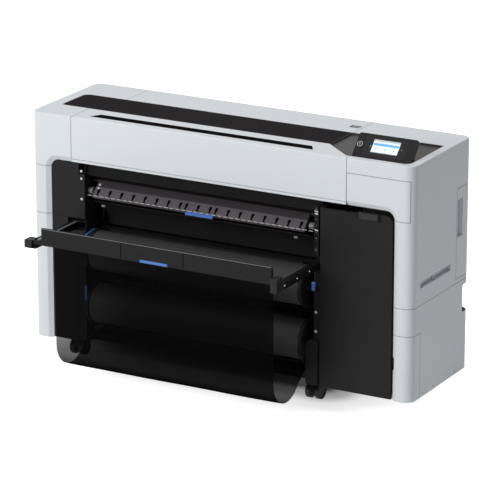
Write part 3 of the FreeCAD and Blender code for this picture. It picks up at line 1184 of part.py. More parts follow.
def carriage_drive():
    """Belt loop, its two pulleys and the motor behind the right end of the rail."""
    past = (BELT_Y[0] - OVER, BELT_Y[1] + OVER)
    outer_r = PULLEY_R + BELT_THICKNESS
    outer = box(PULLEY_X, BELT_Y, (BELT_Z - outer_r, BELT_Z + outer_r))
    inner = box(PULLEY_X, past, (BELT_Z - PULLEY_R, BELT_Z + PULLEY_R))
    for x in PULLEY_X:
        outer = outer.fuse(rod_y(BELT_Y, x, BELT_Z, outer_r))
        inner = inner.fuse(rod_y(past, x, BELT_Z, PULLEY_R))
    solids = [outer.cut(inner).removeSplitter()]
    for x in PULLEY_X:
        pulley = rod_y(BELT_Y, x, BELT_Z, PULLEY_R - RUNNING)
        shaft = rod_y((BELT_Y[0], RAIL_Y[0] + BEARING / 2.0), x, BELT_Z, PULLEY_SHAFT_R)
        bearing = box((x - BEARING, x + BEARING), RAIL_Y, (RAIL_Z[1], BELT_Z + BEARING))
        if x > 0:
            bearing = bearing.fuse(rod_y((RAIL_Y[1] - OVER, RAIL_Y[1] + MOTOR_LENGTH), x, BELT_Z, MOTOR_R))
        solids.append(fuse([pulley, shaft, bearing]))
    return Part.makeCompound(solids)


def capping_station():
    """Tray of caps and wiper that the head parks over, on top of the ink rack."""
    x = (CARRIAGE_X[0] + CAP_INSET, CARRIAGE_X[1] - CAP_INSET)
    y = (CARRIAGE_Y[0] + CAP_INSET, CARRIAGE_Y[1] - CAP_INSET)
    z = (RACK_Z[1], CARRIAGE_Z[0] - HEAD_DROP - 2.0 * OVER)
    tray = box(x, y, z)
    for i in range(CAP_COUNT):
        low = x[0] + CAP_FIRST + i * CAP_PITCH
        tray = tray.cut(box((low, low + CAP_WIDTH), (y[0] + CAP_INSET, y[1] - CAP_INSET),
                            (z[1] - CAP_DEPTH, z[1] + OVER)))
    return tray


# ---------------------------------------------------------------- output guide
def guide_point(along, across):
    """Point (y, z) of the output guide: along from its top to its foot, across towards the front."""
    uy = (GUIDE_FOOT[0] - GUIDE_TOP[0]) / GUIDE_LENGTH
    uz = (GUIDE_FOOT[1] - GUIDE_TOP[1]) / GUIDE_LENGTH
    return GUIDE_TOP[0] + uy * along + uz * across, GUIDE_TOP[1] + uz * along - uy * across


def guide_block(x, along, across):
    """Box in the output guide's own slanted directions."""
    corners = [guide_point(along[0], across[0]), guide_point(along[1], across[0]),
               guide_point(along[1], across[1]), guide_point(along[0], across[1])]
    return profile_x(corners, x)


def guide_hinge():
    """Centre (y, z) of the output guide's hinge rod."""
    return guide_point(0.0, -GUIDE_HINGE_IN)


def output_guide():
    """Slanted plate with keyhole slots in groups, a rolled lip, end cheeks and the hinge rod at its top."""
    bend = GUIDE_LENGTH * GUIDE_BEND
    parts = [
        guide_block(GUIDE_X, (0.0, GUIDE_LENGTH), (0.0, -GUIDE_THICKNESS)),
        guide_block(GUIDE_X, (GUIDE_LENGTH - GUIDE_THICKNESS, GUIDE_LENGTH + OVER), (0.0, -GUIDE_FOLD)),
        guide_block(GUIDE_X, (bend, bend + GUIDE_THICKNESS), (-OVER, -GUIDE_FOLD + 2.0)),
        guide_block(GUIDE_X, (-OVER, GUIDE_CHEEK + 2.0), (-OVER, -GUIDE_HINGE_IN - OVER)),
    ]
    for x in ((GUIDE_X[0], GUIDE_X[0] + GUIDE_CHEEK), (GUIDE_X[1] - GUIDE_CHEEK, GUIDE_X[1])):
        parts.append(guide_block(x, (0.0, GUIDE_LENGTH), (0.0, -GUIDE_FOLD)))
    y, z = guide_hinge()
    parts.append(rod_x((FRAME_LEFT_X, FRAME_RIGHT_X), y, z, GUIDE_PIN_R))
    foot = GUIDE_LENGTH - SLOT_FOOT
    neck = foot - SLOT_NECK[1]
    widths = ((SLOT_WIDTH, (foot - SLOT_LENGTH, neck)), (SLOT_NECK[0], (neck - OVER, foot)))
    group_x = GUIDE_X[0] + SLOT_MARGIN
    slots = []
    for count in SLOT_GROUPS:
        for i in range(count):
            middle = group_x + SLOT_PITCH * i
            for width, along in widths:
                slots.append(guide_block((middle - width / 2.0, middle + width / 2.0), along,
                                         (OVER, -GUIDE_THICKNESS - FIT)))
        group_x += SLOT_PITCH * (count - 0.5)
    return largest(fuse(parts).cut(Part.makeCompound(slots)))


def output_handle():
    """Blue grip under the middle of the output guide's lip."""
    grip = guide_block(GRIP_X, (GUIDE_LENGTH + OVER, GUIDE_LENGTH + OVER + GRIP_LENGTH), GRIP_ACROSS)
    return grip.makeFillet(GRIP_EDGE_R, [e for e in grip.Edges if e.Length > GRIP_X[1] - GRIP_X[0] - OVER])


def paper_guide():
    """Curved dark sheet that leads the paper up behind the output guide, hung from the platen."""
    (y0, z0), (y1, z1) = PAPER_GUIDE_TOP, PAPER_GUIDE_FOOT
    length = math.hypot(y1 - y0, z1 - z0)
    ny, nz = (z1 - z0) / length, -(y1 - y0) / length
    arcs = []
    for offset in (0.0, PLATE):
        lift = PAPER_GUIDE_SAG + offset
        points = [(y0 - ny * offset, z0 - nz * offset),
                  ((y0 + y1) / 2.0 - ny * lift, (z0 + z1) / 2.0 - nz * lift),
                  (y1 - ny * offset, z1 - nz * offset)]
        arcs.append([V(PAPER_GUIDE_X[0], y, z) for y, z in points])
    edges = [Part.Arc(*points).toShape() for points in arcs]
    edges.append(Part.makeLine(arcs[0][0], arcs[1][0]))
    edges.append(Part.makeLine(arcs[0][2], arcs[1][2]))
    wire = Part.Wire(Part.__sortEdges__(edges))
    sheet = Part.Face(wire).extrude(V(PAPER_GUIDE_X[1] - PAPER_GUIDE_X[0], 0, 0))
    middle = (PAPER_GUIDE_TOP[0] + PAPER_GUIDE_FOOT[0]) / 2.0
    solids = [sheet]
    for x in ((PAPER_GUIDE_X[0], PAPER_GUIDE_X[0] + PLATE), (PAPER_GUIDE_X[1] - PLATE, PAPER_GUIDE_X[1])):
        solids.append(box(x, (middle + HANGER_Y[0], middle + HANGER_Y[1]),
                          (z1 + HANGER_RISE, PLATEN_FOOT_Z - FIT)))
    return fuse(solids)


# ---------------------------------------------------------------- dark trim of the bay
def left_fascia():
    """Black plate beside the output guide, with a stepped corner and a fold back to the side plate."""
    x = (OPENING_LEFT + FIT, TRIM_RIGHT)
    z = (FASCIA_BOTTOM, COVER_EDGE_TOP - FASCIA_GAP)
    step_z = z[1] - FASCIA_STEP[1]
    plate = box(x, (TRIM_Y, TRIM_Y + PLATE), z)
    plate = fillet_where(plate, OPENING_CORNER_R, lambda a, b: along_y(a, b) and a.x < x[0] + OVER
                         and a.z > z[1] - OVER)
    plate = plate.cut(box((x[1] - FASCIA_STEP[0], x[1] + OVER), (TRIM_Y - OVER, TRIM_Y + PLATE + OVER),
                          (step_z, z[1] + OVER)))
    fold = box((x[1] - PLATE, x[1]), (TRIM_Y, FRAME_FRONT_Y - FIT), (z[0], step_z))
    return fuse([plate, fold])


def left_lower_panel():
    """Black lower front plate of the left column, cut out for the arm, with pressed grooves."""
    x = (OPENING_LEFT + FIT, TRIM_RIGHT)
    y = (TRIM_Y, FRAME_FRONT_Y - FIT)
    z = (BASE_BOTTOM, LEFT_PANEL_TOP)
    panel = box(x, y, z)
    panel = panel.cut(box((x[0] + PLATE, x[1] - PLATE), (y[0] + PLATE, y[1] + OVER),
                          (z[0] + PLATE, ARM_NOTCH[1] - PLATE)))
    panel = panel.cut(box((ARM_NOTCH[0], x[1] + OVER), (y[0] - OVER, y[1] + OVER),
                          (ARM_NOTCH[1], z[1] + OVER)))
    for inset in PANEL_GROOVES:
        low = x[1] - inset
        panel = panel.cut(box((low, low + PANEL_GROOVE_WIDTH), (y[0] - OVER, y[0] + PANEL_GROOVE_SINK),
                              (z[0] + PANEL_GROOVE_WIDTH, ARM_NOTCH[1] - PANEL_GROOVE_TOP)))
    return panel


def right_metal_strip():
    """Black folded strip right of the output guide, slotted and cut at a slant below."""
    x = STRIP_PLATE_X
    z = STRIP_PLATE_Z
    y = (TRIM_Y, FRONT_BEAM_Y[0] - FIT)
    face = profile_y([(x[0], z[0] + STRIP_FOOT_SLANT), (x[1], z[0]), (x[1], z[1]), (x[0], z[1])],
                     (TRIM_Y, TRIM_Y + STRIP_SHEET))
    web = box((x[1] - STRIP_SHEET, x[1]), y, z)
    foot = box((x[1] - STRIP_SHEET, FRAME_RIGHT_X - PLATE - FIT), (y[1] - STRIP_SHEET, y[1]), z)
    slot_x = (x[0] + STRIP_SLOT[0], x[0] + STRIP_SLOT[1])
    through = (TRIM_Y - OVER, TRIM_Y + STRIP_SHEET + OVER)
    slots = []
    for i in range(STRIP_SLOTS):
        low = z[1] - STRIP_SLOT_TOP - STRIP_SLOT_PITCH * i
        slots.append(box(slot_x, through, (low, low + STRIP_SLOT_HEIGHT)))
    return largest(fuse([face, web, foot]).cut(Part.makeCompound(slots)))


def right_lower_box():
    """Black cover at the foot of the bay's right side, with a narrow post and the upper lever's ear."""
    z = (BASE_BOTTOM, LOWER_BOX_TOP)
    low = box(LOWER_BOX_X, LOWER_BOX_Y, z)
    low = fillet_where(low, LOWER_BOX_R, lambda a, b: along_y(a, b) and a.x < LOWER_BOX_X[0] + OVER
                       and a.z > z[1] - OVER)
    hollow = box((LOWER_BOX_X[0] + PLATE, LOWER_BOX_X[1] - PLATE),
                 (LOWER_BOX_Y[0] + PLATE, LOWER_BOX_Y[1] + OVER),
                 (z[0] + PLATE, z[1] - LOWER_BOX_HEAD))
    post = box(LOWER_BOX_POST_X, (LOWER_BOX_POST_Y, FRAME_FRONT_Y - FIT), (z[0], LOWER_BOX_POST_TOP))
    y, pivot_z = UPPER_RIGHT_PIVOT
    half = LEVER_WIDTH / 2.0
    ear = box((RIGHT_LEVER_X[1] + FIT, RIGHT_LEVER_X[1] + LEVER_EAR), (y - half, LOWER_BOX_POST_Y + OVER),
              (pivot_z - half, pivot_z + half))
    pin = rod_x((RIGHT_LEVER_X[0], RIGHT_LEVER_X[1] + LEVER_EAR / 2.0), y, pivot_z, LEVER_PIN_R)
    return largest(fuse([low.cut(hollow), post, ear, pin]))


# ---------------------------------------------------------------- ink cabinet
def ink_rack():
    """Sheet steel rack with one shelf for each ink case."""
    rack = box(RACK_X, RACK_Y, RACK_Z)
    x = (RACK_X[0] + RACK_WALL, RACK_X[1] - RACK_WALL)
    y = (RACK_Y[0] - OVER, RACK_Y[1] - RACK_WALL)
    for i in range(CARTRIDGE_COUNT):
        low = RACK_Z[0] + RACK_WALL + i * SHELF_PITCH
        rack = rack.cut(box(x, y, (low, low + SHELF_PITCH - RACK_WALL)))
    return rack


def ink_cartridges():
    """Closed ink cases on the shelves, each with a scooped pull in its front."""
    solids = []
    for i in range(CARTRIDGE_COUNT):
        low = RACK_Z[0] + RACK_WALL + i * SHELF_PITCH + FIT
        x = (RACK_X[0] + RACK_WALL + CARTRIDGE_GAP, RACK_X[1] - RACK_WALL - CARTRIDGE_GAP)
        y = (RACK_Y[0] - CARTRIDGE_PROUD, RACK_Y[1] - CARTRIDGE_REAR_ROOM)
        z = (low, low + SHELF_PITCH - RACK_WALL - 2.0 * CARTRIDGE_GAP)
        case = box(x, y, z)
        case = case.cut(box((x[0] + CARTRIDGE_WALL, x[1] - CARTRIDGE_WALL),
                            (y[0] + CASE_FRONT, y[1] - CARTRIDGE_WALL),
                            (z[0] + CARTRIDGE_WALL, z[1] - CARTRIDGE_WALL)))
        middle = (x[0] + x[1]) / 2.0
        pull = box((middle - PULL_HALF, middle + PULL_HALF), (y[0] - OVER, y[0] + PULL_DEPTH),
                   (z[0] + PULL_Z[0], z[0] + PULL_Z[1]))
        solids.append(case.cut(pull))
    return Part.makeCompound(solids)


# ---------------------------------------------------------------- electronics
def electronics_box():
    """Steel box of the power supply and main board, on the rear plate."""
    body = box(BOX_X, BOX_Y, BOX_Z)
    hollow = box((BOX_X[0] + BOX_WALL, BOX_X[1] - BOX_WALL), (BOX_Y[0] + BOX_WALL, BOX_Y[1] - BOX_WALL),
                 (BOX_Z[0] + BOX_WALL, BOX_Z[1] - BOX_WALL))
    foot = box((BOX_X[0] + BOX_FOOT_INSET, BOX_X[1] - BOX_FOOT_INSET), (BOX_Y[0] - PLATE, BOX_Y[0] + OVER),
               (BOX_Z[0] + BOX_FOOT_INSET, BOX_Z[1] - BOX_FOOT_INSET))
    return fuse([body, foot]).cut(hollow)


def power_inlet():
    """Mains inlet socket in the lower back panel."""
    x = (INLET_X, INLET_X + INLET_SIZE[0])
    z = (INLET_Z, INLET_Z + INLET_SIZE[1])
    y = (CABINET_DEPTH - INLET_DEPTH, CABINET_DEPTH - INLET_SINK)
    flange = box((x[0] - INLET_FLANGE[0], x[1] + INLET_FLANGE[0]), (y[0], CABINET_DEPTH - SKIN - FIT),
                 (z[0] - INLET_FLANGE[1], z[1] + INLET_FLANGE[1]))
    socket = box((x[0] + SOCKET_INSET[0], x[1] - SOCKET_INSET[0]), (y[1] - SOCKET_DEPTH, y[1] + OVER),
                 (z[0] + SOCKET_INSET[1], z[1] - SOCKET_INSET[1]))
    prongs = []
    for i in range(3):
        prong_x = (x[0] + PRONG_X[0] + PRONG_PITCH * i, x[0] + PRONG_X[1] + PRONG_PITCH * i)
        prong_y = (y[1] - SOCKET_DEPTH - OVER, y[1] - SOCKET_DEPTH + PRONG_LENGTH)
        prongs.append(box(prong_x, prong_y, (z[0] + PRONG_Z[0], z[0] + PRONG_Z[1])))
    return largest(box(x, y, z).fuse(flange).cut(socket).fuse(Part.makeCompound(prongs)))


# ---------------------------------------------------------------- print catcher
def stacker_arms():
    """Two flat sliding arms with the blocks at their front ends."""
    solids = []
    for arm_x, block_x, block_z, nose in ((LEFT_ARM_X, LEFT_BLOCK_X, LEFT_BLOCK_Z, LEFT_NOSE),
                                          (RIGHT_ARM_X, RIGHT_BLOCK_X, RIGHT_BLOCK_Z, REACH)):
        arm = box(arm_x, (-nose + BLOCK_DEPTH / 2.0, ARM_REAR_Y), (ARM_BOTTOM, ARM_BOTTOM + ARM_HEIGHT))
        groove = box((arm_x[1] - ARM_GROOVE, arm_x[1] + OVER),
                     (-nose + BLOCK_DEPTH + ARM_GROOVE_EDGE, ARM_REAR_Y - ARM_GROOVE_EDGE),
                     (ARM_BOTTOM + ARM_GROOVE_EDGE, ARM_BOTTOM + ARM_HEIGHT - ARM_GROOVE_EDGE))
        block = box(block_x, (-nose, -nose + BLOCK_DEPTH), block_z)
        block = fillet_where(block, BLOCK_R, lambda a, b: along_x(a, b) and a.y < -nose + OVER)
        solids.append(fuse([arm.cut(groove), block]))
    return Part.makeCompound(solids)


def stacker_bar():
    """Folded front bar between the end blocks, stepped at its ends, open below."""
    y = (-BAR_FRONT, -BAR_FRONT + BAR_DEPTH)
    upper = box(BAR_X, y, (BAR_BOTTOM + BAR_STEP, BAR_TOP))
    lower = box((BAR_X[0] - BAR_STEP_X, RIGHT_BLOCK_X[0] - FIT), y, (BAR_BOTTOM, BAR_STEP_Z))
    tie = box((LEFT_BLOCK_X[1] + FIT, BAR_X[0]), (y[0] + BAR_STEP_X, y[1]), (BAR_BOTTOM, LEFT_BLOCK_Z[1]))
    solid = fuse([upper, lower, tie])
    x = (BAR_X[0] + BAR_WALL, BAR_X[1] - BAR_WALL)
    inner = (y[0] + BAR_WALL, y[1] - BAR_WALL)
    solid = solid.cut(box(x, inner, (BAR_BOTTOM - OVER, BAR_TOP - BAR_WALL)))
    solid = solid.cut(box(x, (inner[0], y[1] + OVER), (BAR_BOTTOM - OVER, BAR_LIP_Z)))
    return largest(solid)


def net_path():
    """Side view (y, z) of the hanging cloth: straight drop, round belly, rise to the base's front."""
    top_y = -BAR_FRONT + BAR_DEPTH + FIT + NET_THICKNESS / 2.0
    belly = (top_y + NET_BEND_R, NET_BELLY_Z + NET_BEND_R)
    return [(top_y, NET_TOP)] + arc_points(belly, NET_BEND_R, 180.0, NET_BEND_END, 14)


def cloth_profile(path, x):
    """Cloth of even thickness along a side view, between two x."""
    half = NET_THICKNESS / 2.0
    left, right = [], []
    for i, (y, z) in enumerate(path):
        before = path[max(i - 1, 0)]
        after = path[min(i + 1, len(path) - 1)]
        length = math.hypot(after[0] - before[0], after[1] - before[1])
        ny, nz = -(after[1] - before[1]) / length, (after[0] - before[0]) / length
        left.append((y + ny * half, z + nz * half))
        right.append((y - ny * half, z - nz * half))
    return profile_x(left + right[::-1], x)


def catch_net():
    """Black cloth that catches the prints, hung from the bar and hemmed to the roll guard."""
    path = net_path()
    last = path[-1]
    slope = (NET_REAR[1] - last[1]) / (NET_REAR[0] - last[0])
    beside = LOWER_BOX_Y[0] - NET_TAIL_GAP
    neck = (beside, last[1] + slope * (beside - last[0]))
    lap = (beside - OVER, neck[1] - slope * OVER)
    tail_x = (NET_X[0], LOWER_BOX_X[0] - NET_TAIL_GAP)
    return fuse([cloth_profile(path + [neck], NET_X), cloth_profile([lap, NET_REAR], tail_x)])


def screws():
    """Pan head screws in the metal strip and the post below it."""
    found = []
    x = (STRIP_PLATE_X[0] + STRIP_PLATE_X[1]) / 2.0
    places = [(TRIM_Y, STRIP_PLATE_Z[1] - STRIP_SCREWS[0]), (TRIM_Y, STRIP_PLATE_Z[0] + STRIP_SCREWS[1])]
    places += [(LOWER_BOX_POST_Y, z) for z in POST_SCREW_Z]
    for y, z in places:
        head = rod_y((y - SCREW_HEAD, y), x, z, SCREW_R)
        rim = [e for e in head.Edges if e.Closed and e.BoundBox.YMax < y - OVER]
        found.append(head.makeFillet(SCREW_EDGE_R, rim))
    return Part.makeCompound(found)


# ---------------------------------------------------------------- write every node
def build():
    """All nodes by name."""
    stock = cover_stock()
    nodes = {
        "base_frame": base_frame(),
        "upper_frame": upper_frame(),
        "side_frames": side_frames(),
        "cross_beams": cross_beams(),
        "rear_covers": rear_covers(stock),
        "left_upper_cover": left_upper_cover(stock),
        "left_middle_cover": left_side_cover(stock, (LEFT_LOWER_SEAM_Z, LEFT_UPPER_SEAM_Z)),
        "left_lower_cover": left_side_cover(stock, (BOTTOM, LEFT_LOWER_SEAM_Z)),
        "right_upper_cover": right_upper_cover(stock),
        "right_lower_cover": right_lower_cover(stock),
        "right_corner_cover": right_corner_cover(stock),
        "front_cover": front_cover(stock),
        "view_strip": view_strip(),
        "roof_window": roof_window(),
        "control_well": control_well(),
        "control_panel": control_panel(),
        "control_screen": control_screen(),
        "power_button": power_button(),
        "access_door": access_door(stock),
        "side_door": side_door(stock),
        "ink_door": ink_door(),
        "ink_rack": ink_rack(),
        "ink_cartridges": ink_cartridges(),
        "left_fascia": left_fascia(),
        "left_lower_panel": left_lower_panel(),
        "right_metal_strip": right_metal_strip(),
        "right_lower_box": right_lower_box(),
        "platen": platen(),
        "feed_roller": feed_roller(),
        "pinch_rollers": pinch_rollers(),
        "carriage_rail": carriage_rail(),
        "carriage": carriage(),
        "carriage_drive": carriage_drive(),
        "capping_station": capping_station(),
        "output_guide": output_guide(),
        "output_handle": output_handle(),
        "paper_guide": paper_guide(),
        "stacker_arms": stacker_arms(),
        "stacker_bar": stacker_bar(),
        "catch_net": catch_net(),
        "electronics_box": electronics_box(),
        "power_inlet": power_inlet(),
        "upper_left_lever": roll_lever(LEFT_LEVER_X, UPPER_LEFT_PIVOT, FLAT_LEVER_LENGTH, FLAT_LEVER_REST),
        "lower_left_lever": roll_lever(LEFT_LEVER_X, LOWER_LEFT_PIVOT, LEFT_LEVER_LENGTH, 90.0),
        "upper_right_lever": roll_lever(RIGHT_LEVER_X, UPPER_RIGHT_PIVOT, RIGHT_LEVER_LENGTH, 90.0),
        "screws": screws(),
    }
    for level, z in ROLL_Z.items():
        nodes[level + "_paper_roll"] = paper_roll(z)
        nodes[level + "_roll_adapters"] = roll_adapters(z)
        nodes[level + "_roll_cover"] = roll_cover(z)
    for end, y in zip(("front", "rear"), CASTER_Y):
        for side, x in zip(("left", "right"), CASTER_X):
            nodes["caster_yoke_" + end + "_" + side] = caster_yoke(x, y)
            nodes["caster_wheels_" + end + "_" + side] = caster_wheels(x, y)
    return nodes


os.makedirs("parts", exist_ok=True)
for name, shape in build().items():
    shape.translate(V(0.0, -BACK_Y, 0.0))
    shape.exportStep("parts/" + name + ".step")
    print(name, len(shape.Solids), round(shape.Volume), shape.isValid())
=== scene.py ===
# Large format plotter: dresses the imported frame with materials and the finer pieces.
import bpy
import math
import random
from mathutils import Matrix, Vector


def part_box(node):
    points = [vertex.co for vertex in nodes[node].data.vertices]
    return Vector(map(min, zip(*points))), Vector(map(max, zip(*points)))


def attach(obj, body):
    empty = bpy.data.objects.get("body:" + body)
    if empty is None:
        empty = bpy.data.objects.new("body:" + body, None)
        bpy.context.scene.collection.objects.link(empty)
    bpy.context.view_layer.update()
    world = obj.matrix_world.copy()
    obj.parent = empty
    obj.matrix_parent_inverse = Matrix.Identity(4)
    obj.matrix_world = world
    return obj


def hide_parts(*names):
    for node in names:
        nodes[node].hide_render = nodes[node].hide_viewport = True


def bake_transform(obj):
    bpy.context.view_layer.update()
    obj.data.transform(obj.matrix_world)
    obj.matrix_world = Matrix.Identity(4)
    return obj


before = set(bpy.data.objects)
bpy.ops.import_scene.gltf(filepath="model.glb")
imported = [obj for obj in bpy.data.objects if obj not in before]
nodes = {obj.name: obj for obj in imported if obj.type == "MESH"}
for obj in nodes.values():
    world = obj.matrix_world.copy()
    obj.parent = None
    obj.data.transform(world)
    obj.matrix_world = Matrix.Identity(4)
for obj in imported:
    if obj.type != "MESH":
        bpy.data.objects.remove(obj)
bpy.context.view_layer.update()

# ---------------------------------------------------------------- white moulded covers
# The cabinet's covers are injection moulded in white plastic with a very fine spark texture,
# clipped and screwed to the steel frame, with slightly softened edges along every seam, tinted dark as
# painted seam shade.
SHIFT_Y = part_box("left_upper_cover")[0].y


def at(x, y, z):
    """Point given in millimetres from the cabinet's front plane, in the frame's metres."""
    return Vector((x / 1000.0, y / 1000.0 + SHIFT_Y, z / 1000.0))


def group(name, inputs, outputs):
    """Empty shader group with its sockets; returns the group and its two end nodes."""
    tree = bpy.data.node_groups.new(name, "ShaderNodeTree")
    for label, kind, value in inputs:
        socket = tree.interface.new_socket(label, in_out="INPUT", socket_type="NodeSocket" + kind)
        if value is not None:
            socket.default_value = value
    for label, kind in outputs:
        tree.interface.new_socket(label, in_out="OUTPUT", socket_type="NodeSocket" + kind)
    return tree, tree.nodes.new("NodeGroupInput"), tree.nodes.new("NodeGroupOutput")


def soft_edge_group():
    """Rounded-edge normal and an edge mask, used to tint edges as rubbed wear or, where the tint is darker,
    as painted shade along seams.
    """
    tree, gin, gout = group("soft edge", [("Radius", "Float", 0.001), ("Wear and seam shade", "Float", 0.5)],
                            [("Normal", "Vector"), ("Edge", "Float")])
    bevel = tree.nodes.new("ShaderNodeBevel")
    bevel.samples = 6
    tree.links.new(gin.outputs["Radius"], bevel.inputs["Radius"])
    geometry = tree.nodes.new("ShaderNodeNewGeometry")
    dot = tree.nodes.new("ShaderNodeVectorMath")
    dot.operation = "DOT_PRODUCT"
    tree.links.new(bevel.outputs["Normal"], dot.inputs[0])
    tree.links.new(geometry.outputs["True Normal"], dot.inputs[1])
    rng = tree.nodes.new("ShaderNodeMapRange")
    rng.inputs["From Min"].default_value = 1.0
    rng.inputs["From Max"].default_value = 0.85
    tree.links.new(dot.outputs["Value"], rng.inputs["Value"])
    scale = tree.nodes.new("ShaderNodeMath")
    scale.operation = "MULTIPLY"
    tree.links.new(rng.outputs["Result"], scale.inputs[0])
    tree.links.new(gin.outputs["Wear and seam shade"], scale.inputs[1])
    tree.links.new(bevel.outputs["Normal"], gout.inputs["Normal"])
    tree.links.new(scale.outputs["Value"], gout.inputs["Edge"])
    return tree


def grain_group():
    """Fine moulded grain and a broad, faint mottle, both from object coordinates."""
    tree, gin, gout = group("grain", [("Coordinates", "Vector", None), ("Fineness", "Float", 900.0),
                                      ("Breadth", "Float", 3.0)], [("Height", "Float"), ("Mottle", "Float")])
    for label, socket, detail in (("Fineness", "Height", 2.0), ("Breadth", "Mottle", 4.0)):
        noise = tree.nodes.new("ShaderNodeTexNoise")
        noise.inputs["Detail"].default_value = detail
        tree.links.new(gin.outputs["Coordinates"], noise.inputs["Vector"])
        tree.links.new(gin.outputs[label], noise.inputs["Scale"])
        tree.links.new(noise.outputs["Fac"], gout.inputs[socket])
    return tree


def dust_group():
    """Mask of the thin dust that settles on what faces up."""
    tree, gin, gout = group("dust", [("Coordinates", "Vector", None), ("Amount", "Float", 0.3)],
                            [("Mask", "Float")])
    geometry = tree.nodes.new("ShaderNodeNewGeometry")
    split = tree.nodes.new("ShaderNodeSeparateXYZ")
    tree.links.new(geometry.outputs["Normal"], split.inputs[0])
    up = tree.nodes.new("ShaderNodeMapRange")
    up.inputs["From Min"].default_value = 0.6
    tree.links.new(split.outputs["Z"], up.inputs["Value"])
    noise = tree.nodes.new("ShaderNodeTexNoise")
    noise.inputs["Scale"].default_value = 14.0
    noise.inputs["Detail"].default_value = 6.0
    tree.links.new(gin.outputs["Coordinates"], noise.inputs["Vector"])
    both = tree.nodes.new("ShaderNodeMath")
    both.operation = "MULTIPLY"
    tree.links.new(up.outputs["Result"], both.inputs[0])
    tree.links.new(noise.outputs["Fac"], both.inputs[1])
    last = tree.nodes.new("ShaderNodeMath")
    last.operation = "MULTIPLY"
    tree.links.new(both.outputs["Value"], last.inputs[0])
    tree.links.new(gin.outputs["Amount"], last.inputs[1])
    tree.links.new(last.outputs["Value"], gout.inputs["Mask"])
    return tree


SOFT_EDGE = soft_edge_group()
GRAIN = grain_group()
DUST = dust_group()


def mix_colour(tree, factor, first, second):
    """Colour mix; first and second are sockets or colours. Returns the result socket."""
    mix = tree.nodes.new("ShaderNodeMix")
    mix.data_type = "RGBA"
    tree.links.new(factor, mix.inputs["Factor"])
    for socket, value in ((mix.inputs["A"], first), (mix.inputs["B"], second)):
        if isinstance(value, tuple):
            socket.default_value = value + (1.0,)
        else:
            tree.links.new(value, socket)
    return mix.outputs["Result"]


def material(name, low, high, rough, metal=0.0, fineness=900.0, depth=0.02, edge=0.0012, rub=0.3,
             worn=None, dust=0.15, specular=0.5):
    """Procedural finish: mottled base, an edge tint (lighter ones rubbed wear, darker ones painted seam
    shade), settled dust, grained and softened surface.
    """
    made = bpy.data.materials.new(name)
    made.use_nodes = True
    tree = made.node_tree
    shader = tree.nodes["Principled BSDF"]
    place = tree.nodes.new("ShaderNodeTexCoord")
    grain = tree.nodes.new("ShaderNodeGroup")
    grain.node_tree = GRAIN
    grain.inputs["Fineness"].default_value = fineness
    tree.links.new(place.outputs["Object"], grain.inputs["Coordinates"])
    colour = mix_colour(tree, grain.outputs["Mottle"], low, high)
    soft = tree.nodes.new("ShaderNodeGroup")
    soft.node_tree = SOFT_EDGE
    soft.inputs["Radius"].default_value = edge
    soft.inputs["Wear and seam shade"].default_value = rub
    # Edge tint: rubbed wear where it is lighter than the base, painted shade along seams where it is darker.
    colour = mix_colour(tree, soft.outputs["Edge"], colour, worn or high)
    settle = tree.nodes.new("ShaderNodeGroup")
    settle.node_tree = DUST
    settle.inputs["Amount"].default_value = dust
    tree.links.new(place.outputs["Object"], settle.inputs["Coordinates"])
    colour = mix_colour(tree, settle.outputs["Mask"], colour, (0.5, 0.49, 0.47))
    tree.links.new(colour, shader.inputs["Base Color"])
    spread = tree.nodes.new("ShaderNodeMapRange")
    spread.inputs["To Min"].default_value = rough[0]
    spread.inputs["To Max"].default_value = rough[1]
    tree.links.new(grain.outputs["Mottle"], spread.inputs["Value"])
    tree.links.new(spread.outputs["Result"], shader.inputs["Roughness"])
    bump = tree.nodes.new("ShaderNodeBump")
    bump.inputs["Strength"].default_value = 1.0
    bump.inputs["Distance"].default_value = depth / 1000.0
    tree.links.new(grain.outputs["Height"], bump.inputs["Height"])
    tree.links.new(soft.outputs["Normal"], bump.inputs["Normal"])
    tree.links.new(bump.outputs["Normal"], shader.inputs["Normal"])
    shader.inputs["Metallic"].default_value = metal
    shader.inputs["Specular IOR Level"].default_value = specular
    return made


def dress(made, *names):
    """Gives nodes or pieces their material."""
    for name in names:
        piece = nodes[name] if isinstance(name, str) else name
        piece.data.materials.clear()
        piece.data.materials.append(made)


# White shell: the dark grey edge tint is painted shade in the seams between the covers.
white = material("white shell", (0.70, 0.735, 0.77), (0.74, 0.77, 0.80), (0.38, 0.46), edge=0.003,
                 rub=1.0, worn=(0.10, 0.105, 0.11), dust=0.03, specular=0.16)
dress(white, "left_upper_cover", "left_middle_cover", "left_lower_cover", "right_upper_cover",
      "right_lower_cover", "right_corner_cover", "front_cover", "access_door", "side_door", "rear_covers")

# ---------------------------------------------------------------- smoked roof window
# Two panes of smoked acrylic over the carriage's path, dropped into the roof, and the
# slim light strip of the same stuff in the lifting cover.
# Smoked panes: the edge tint is darker than the pane, painted shade along the window's seams.
smoked = material("smoked acrylic", (0.026, 0.0232, 0.0245), (0.032, 0.0288, 0.0305), (0.16, 0.22),
                  fineness=400.0, depth=0.002, edge=0.0012, rub=0.8, worn=(0.004, 0.004, 0.004), dust=0.005,
                  specular=0.0)
dress(smoked, "roof_window")
strip = material("strip acrylic", (0.006, 0.006, 0.0065), (0.009, 0.009, 0.0095), (0.22, 0.3), fineness=400.0,
                 depth=0.002, edge=0.0008, rub=0.2, worn=(0.005, 0.005, 0.005), dust=0.0, specular=0.0)
dress(strip, "view_strip")

# ---------------------------------------------------------------- control well
# Dark satin tray moulded in one, dropped into the roof; the panel's foot turns in its pit.
tray = material("satin tray", (0.052, 0.050, 0.052), (0.064, 0.062, 0.064), (0.34, 0.44), depth=0.03,
                worn=(0.10, 0.10, 0.104), dust=0.02, specular=0.06)
dress(tray, "control_well")

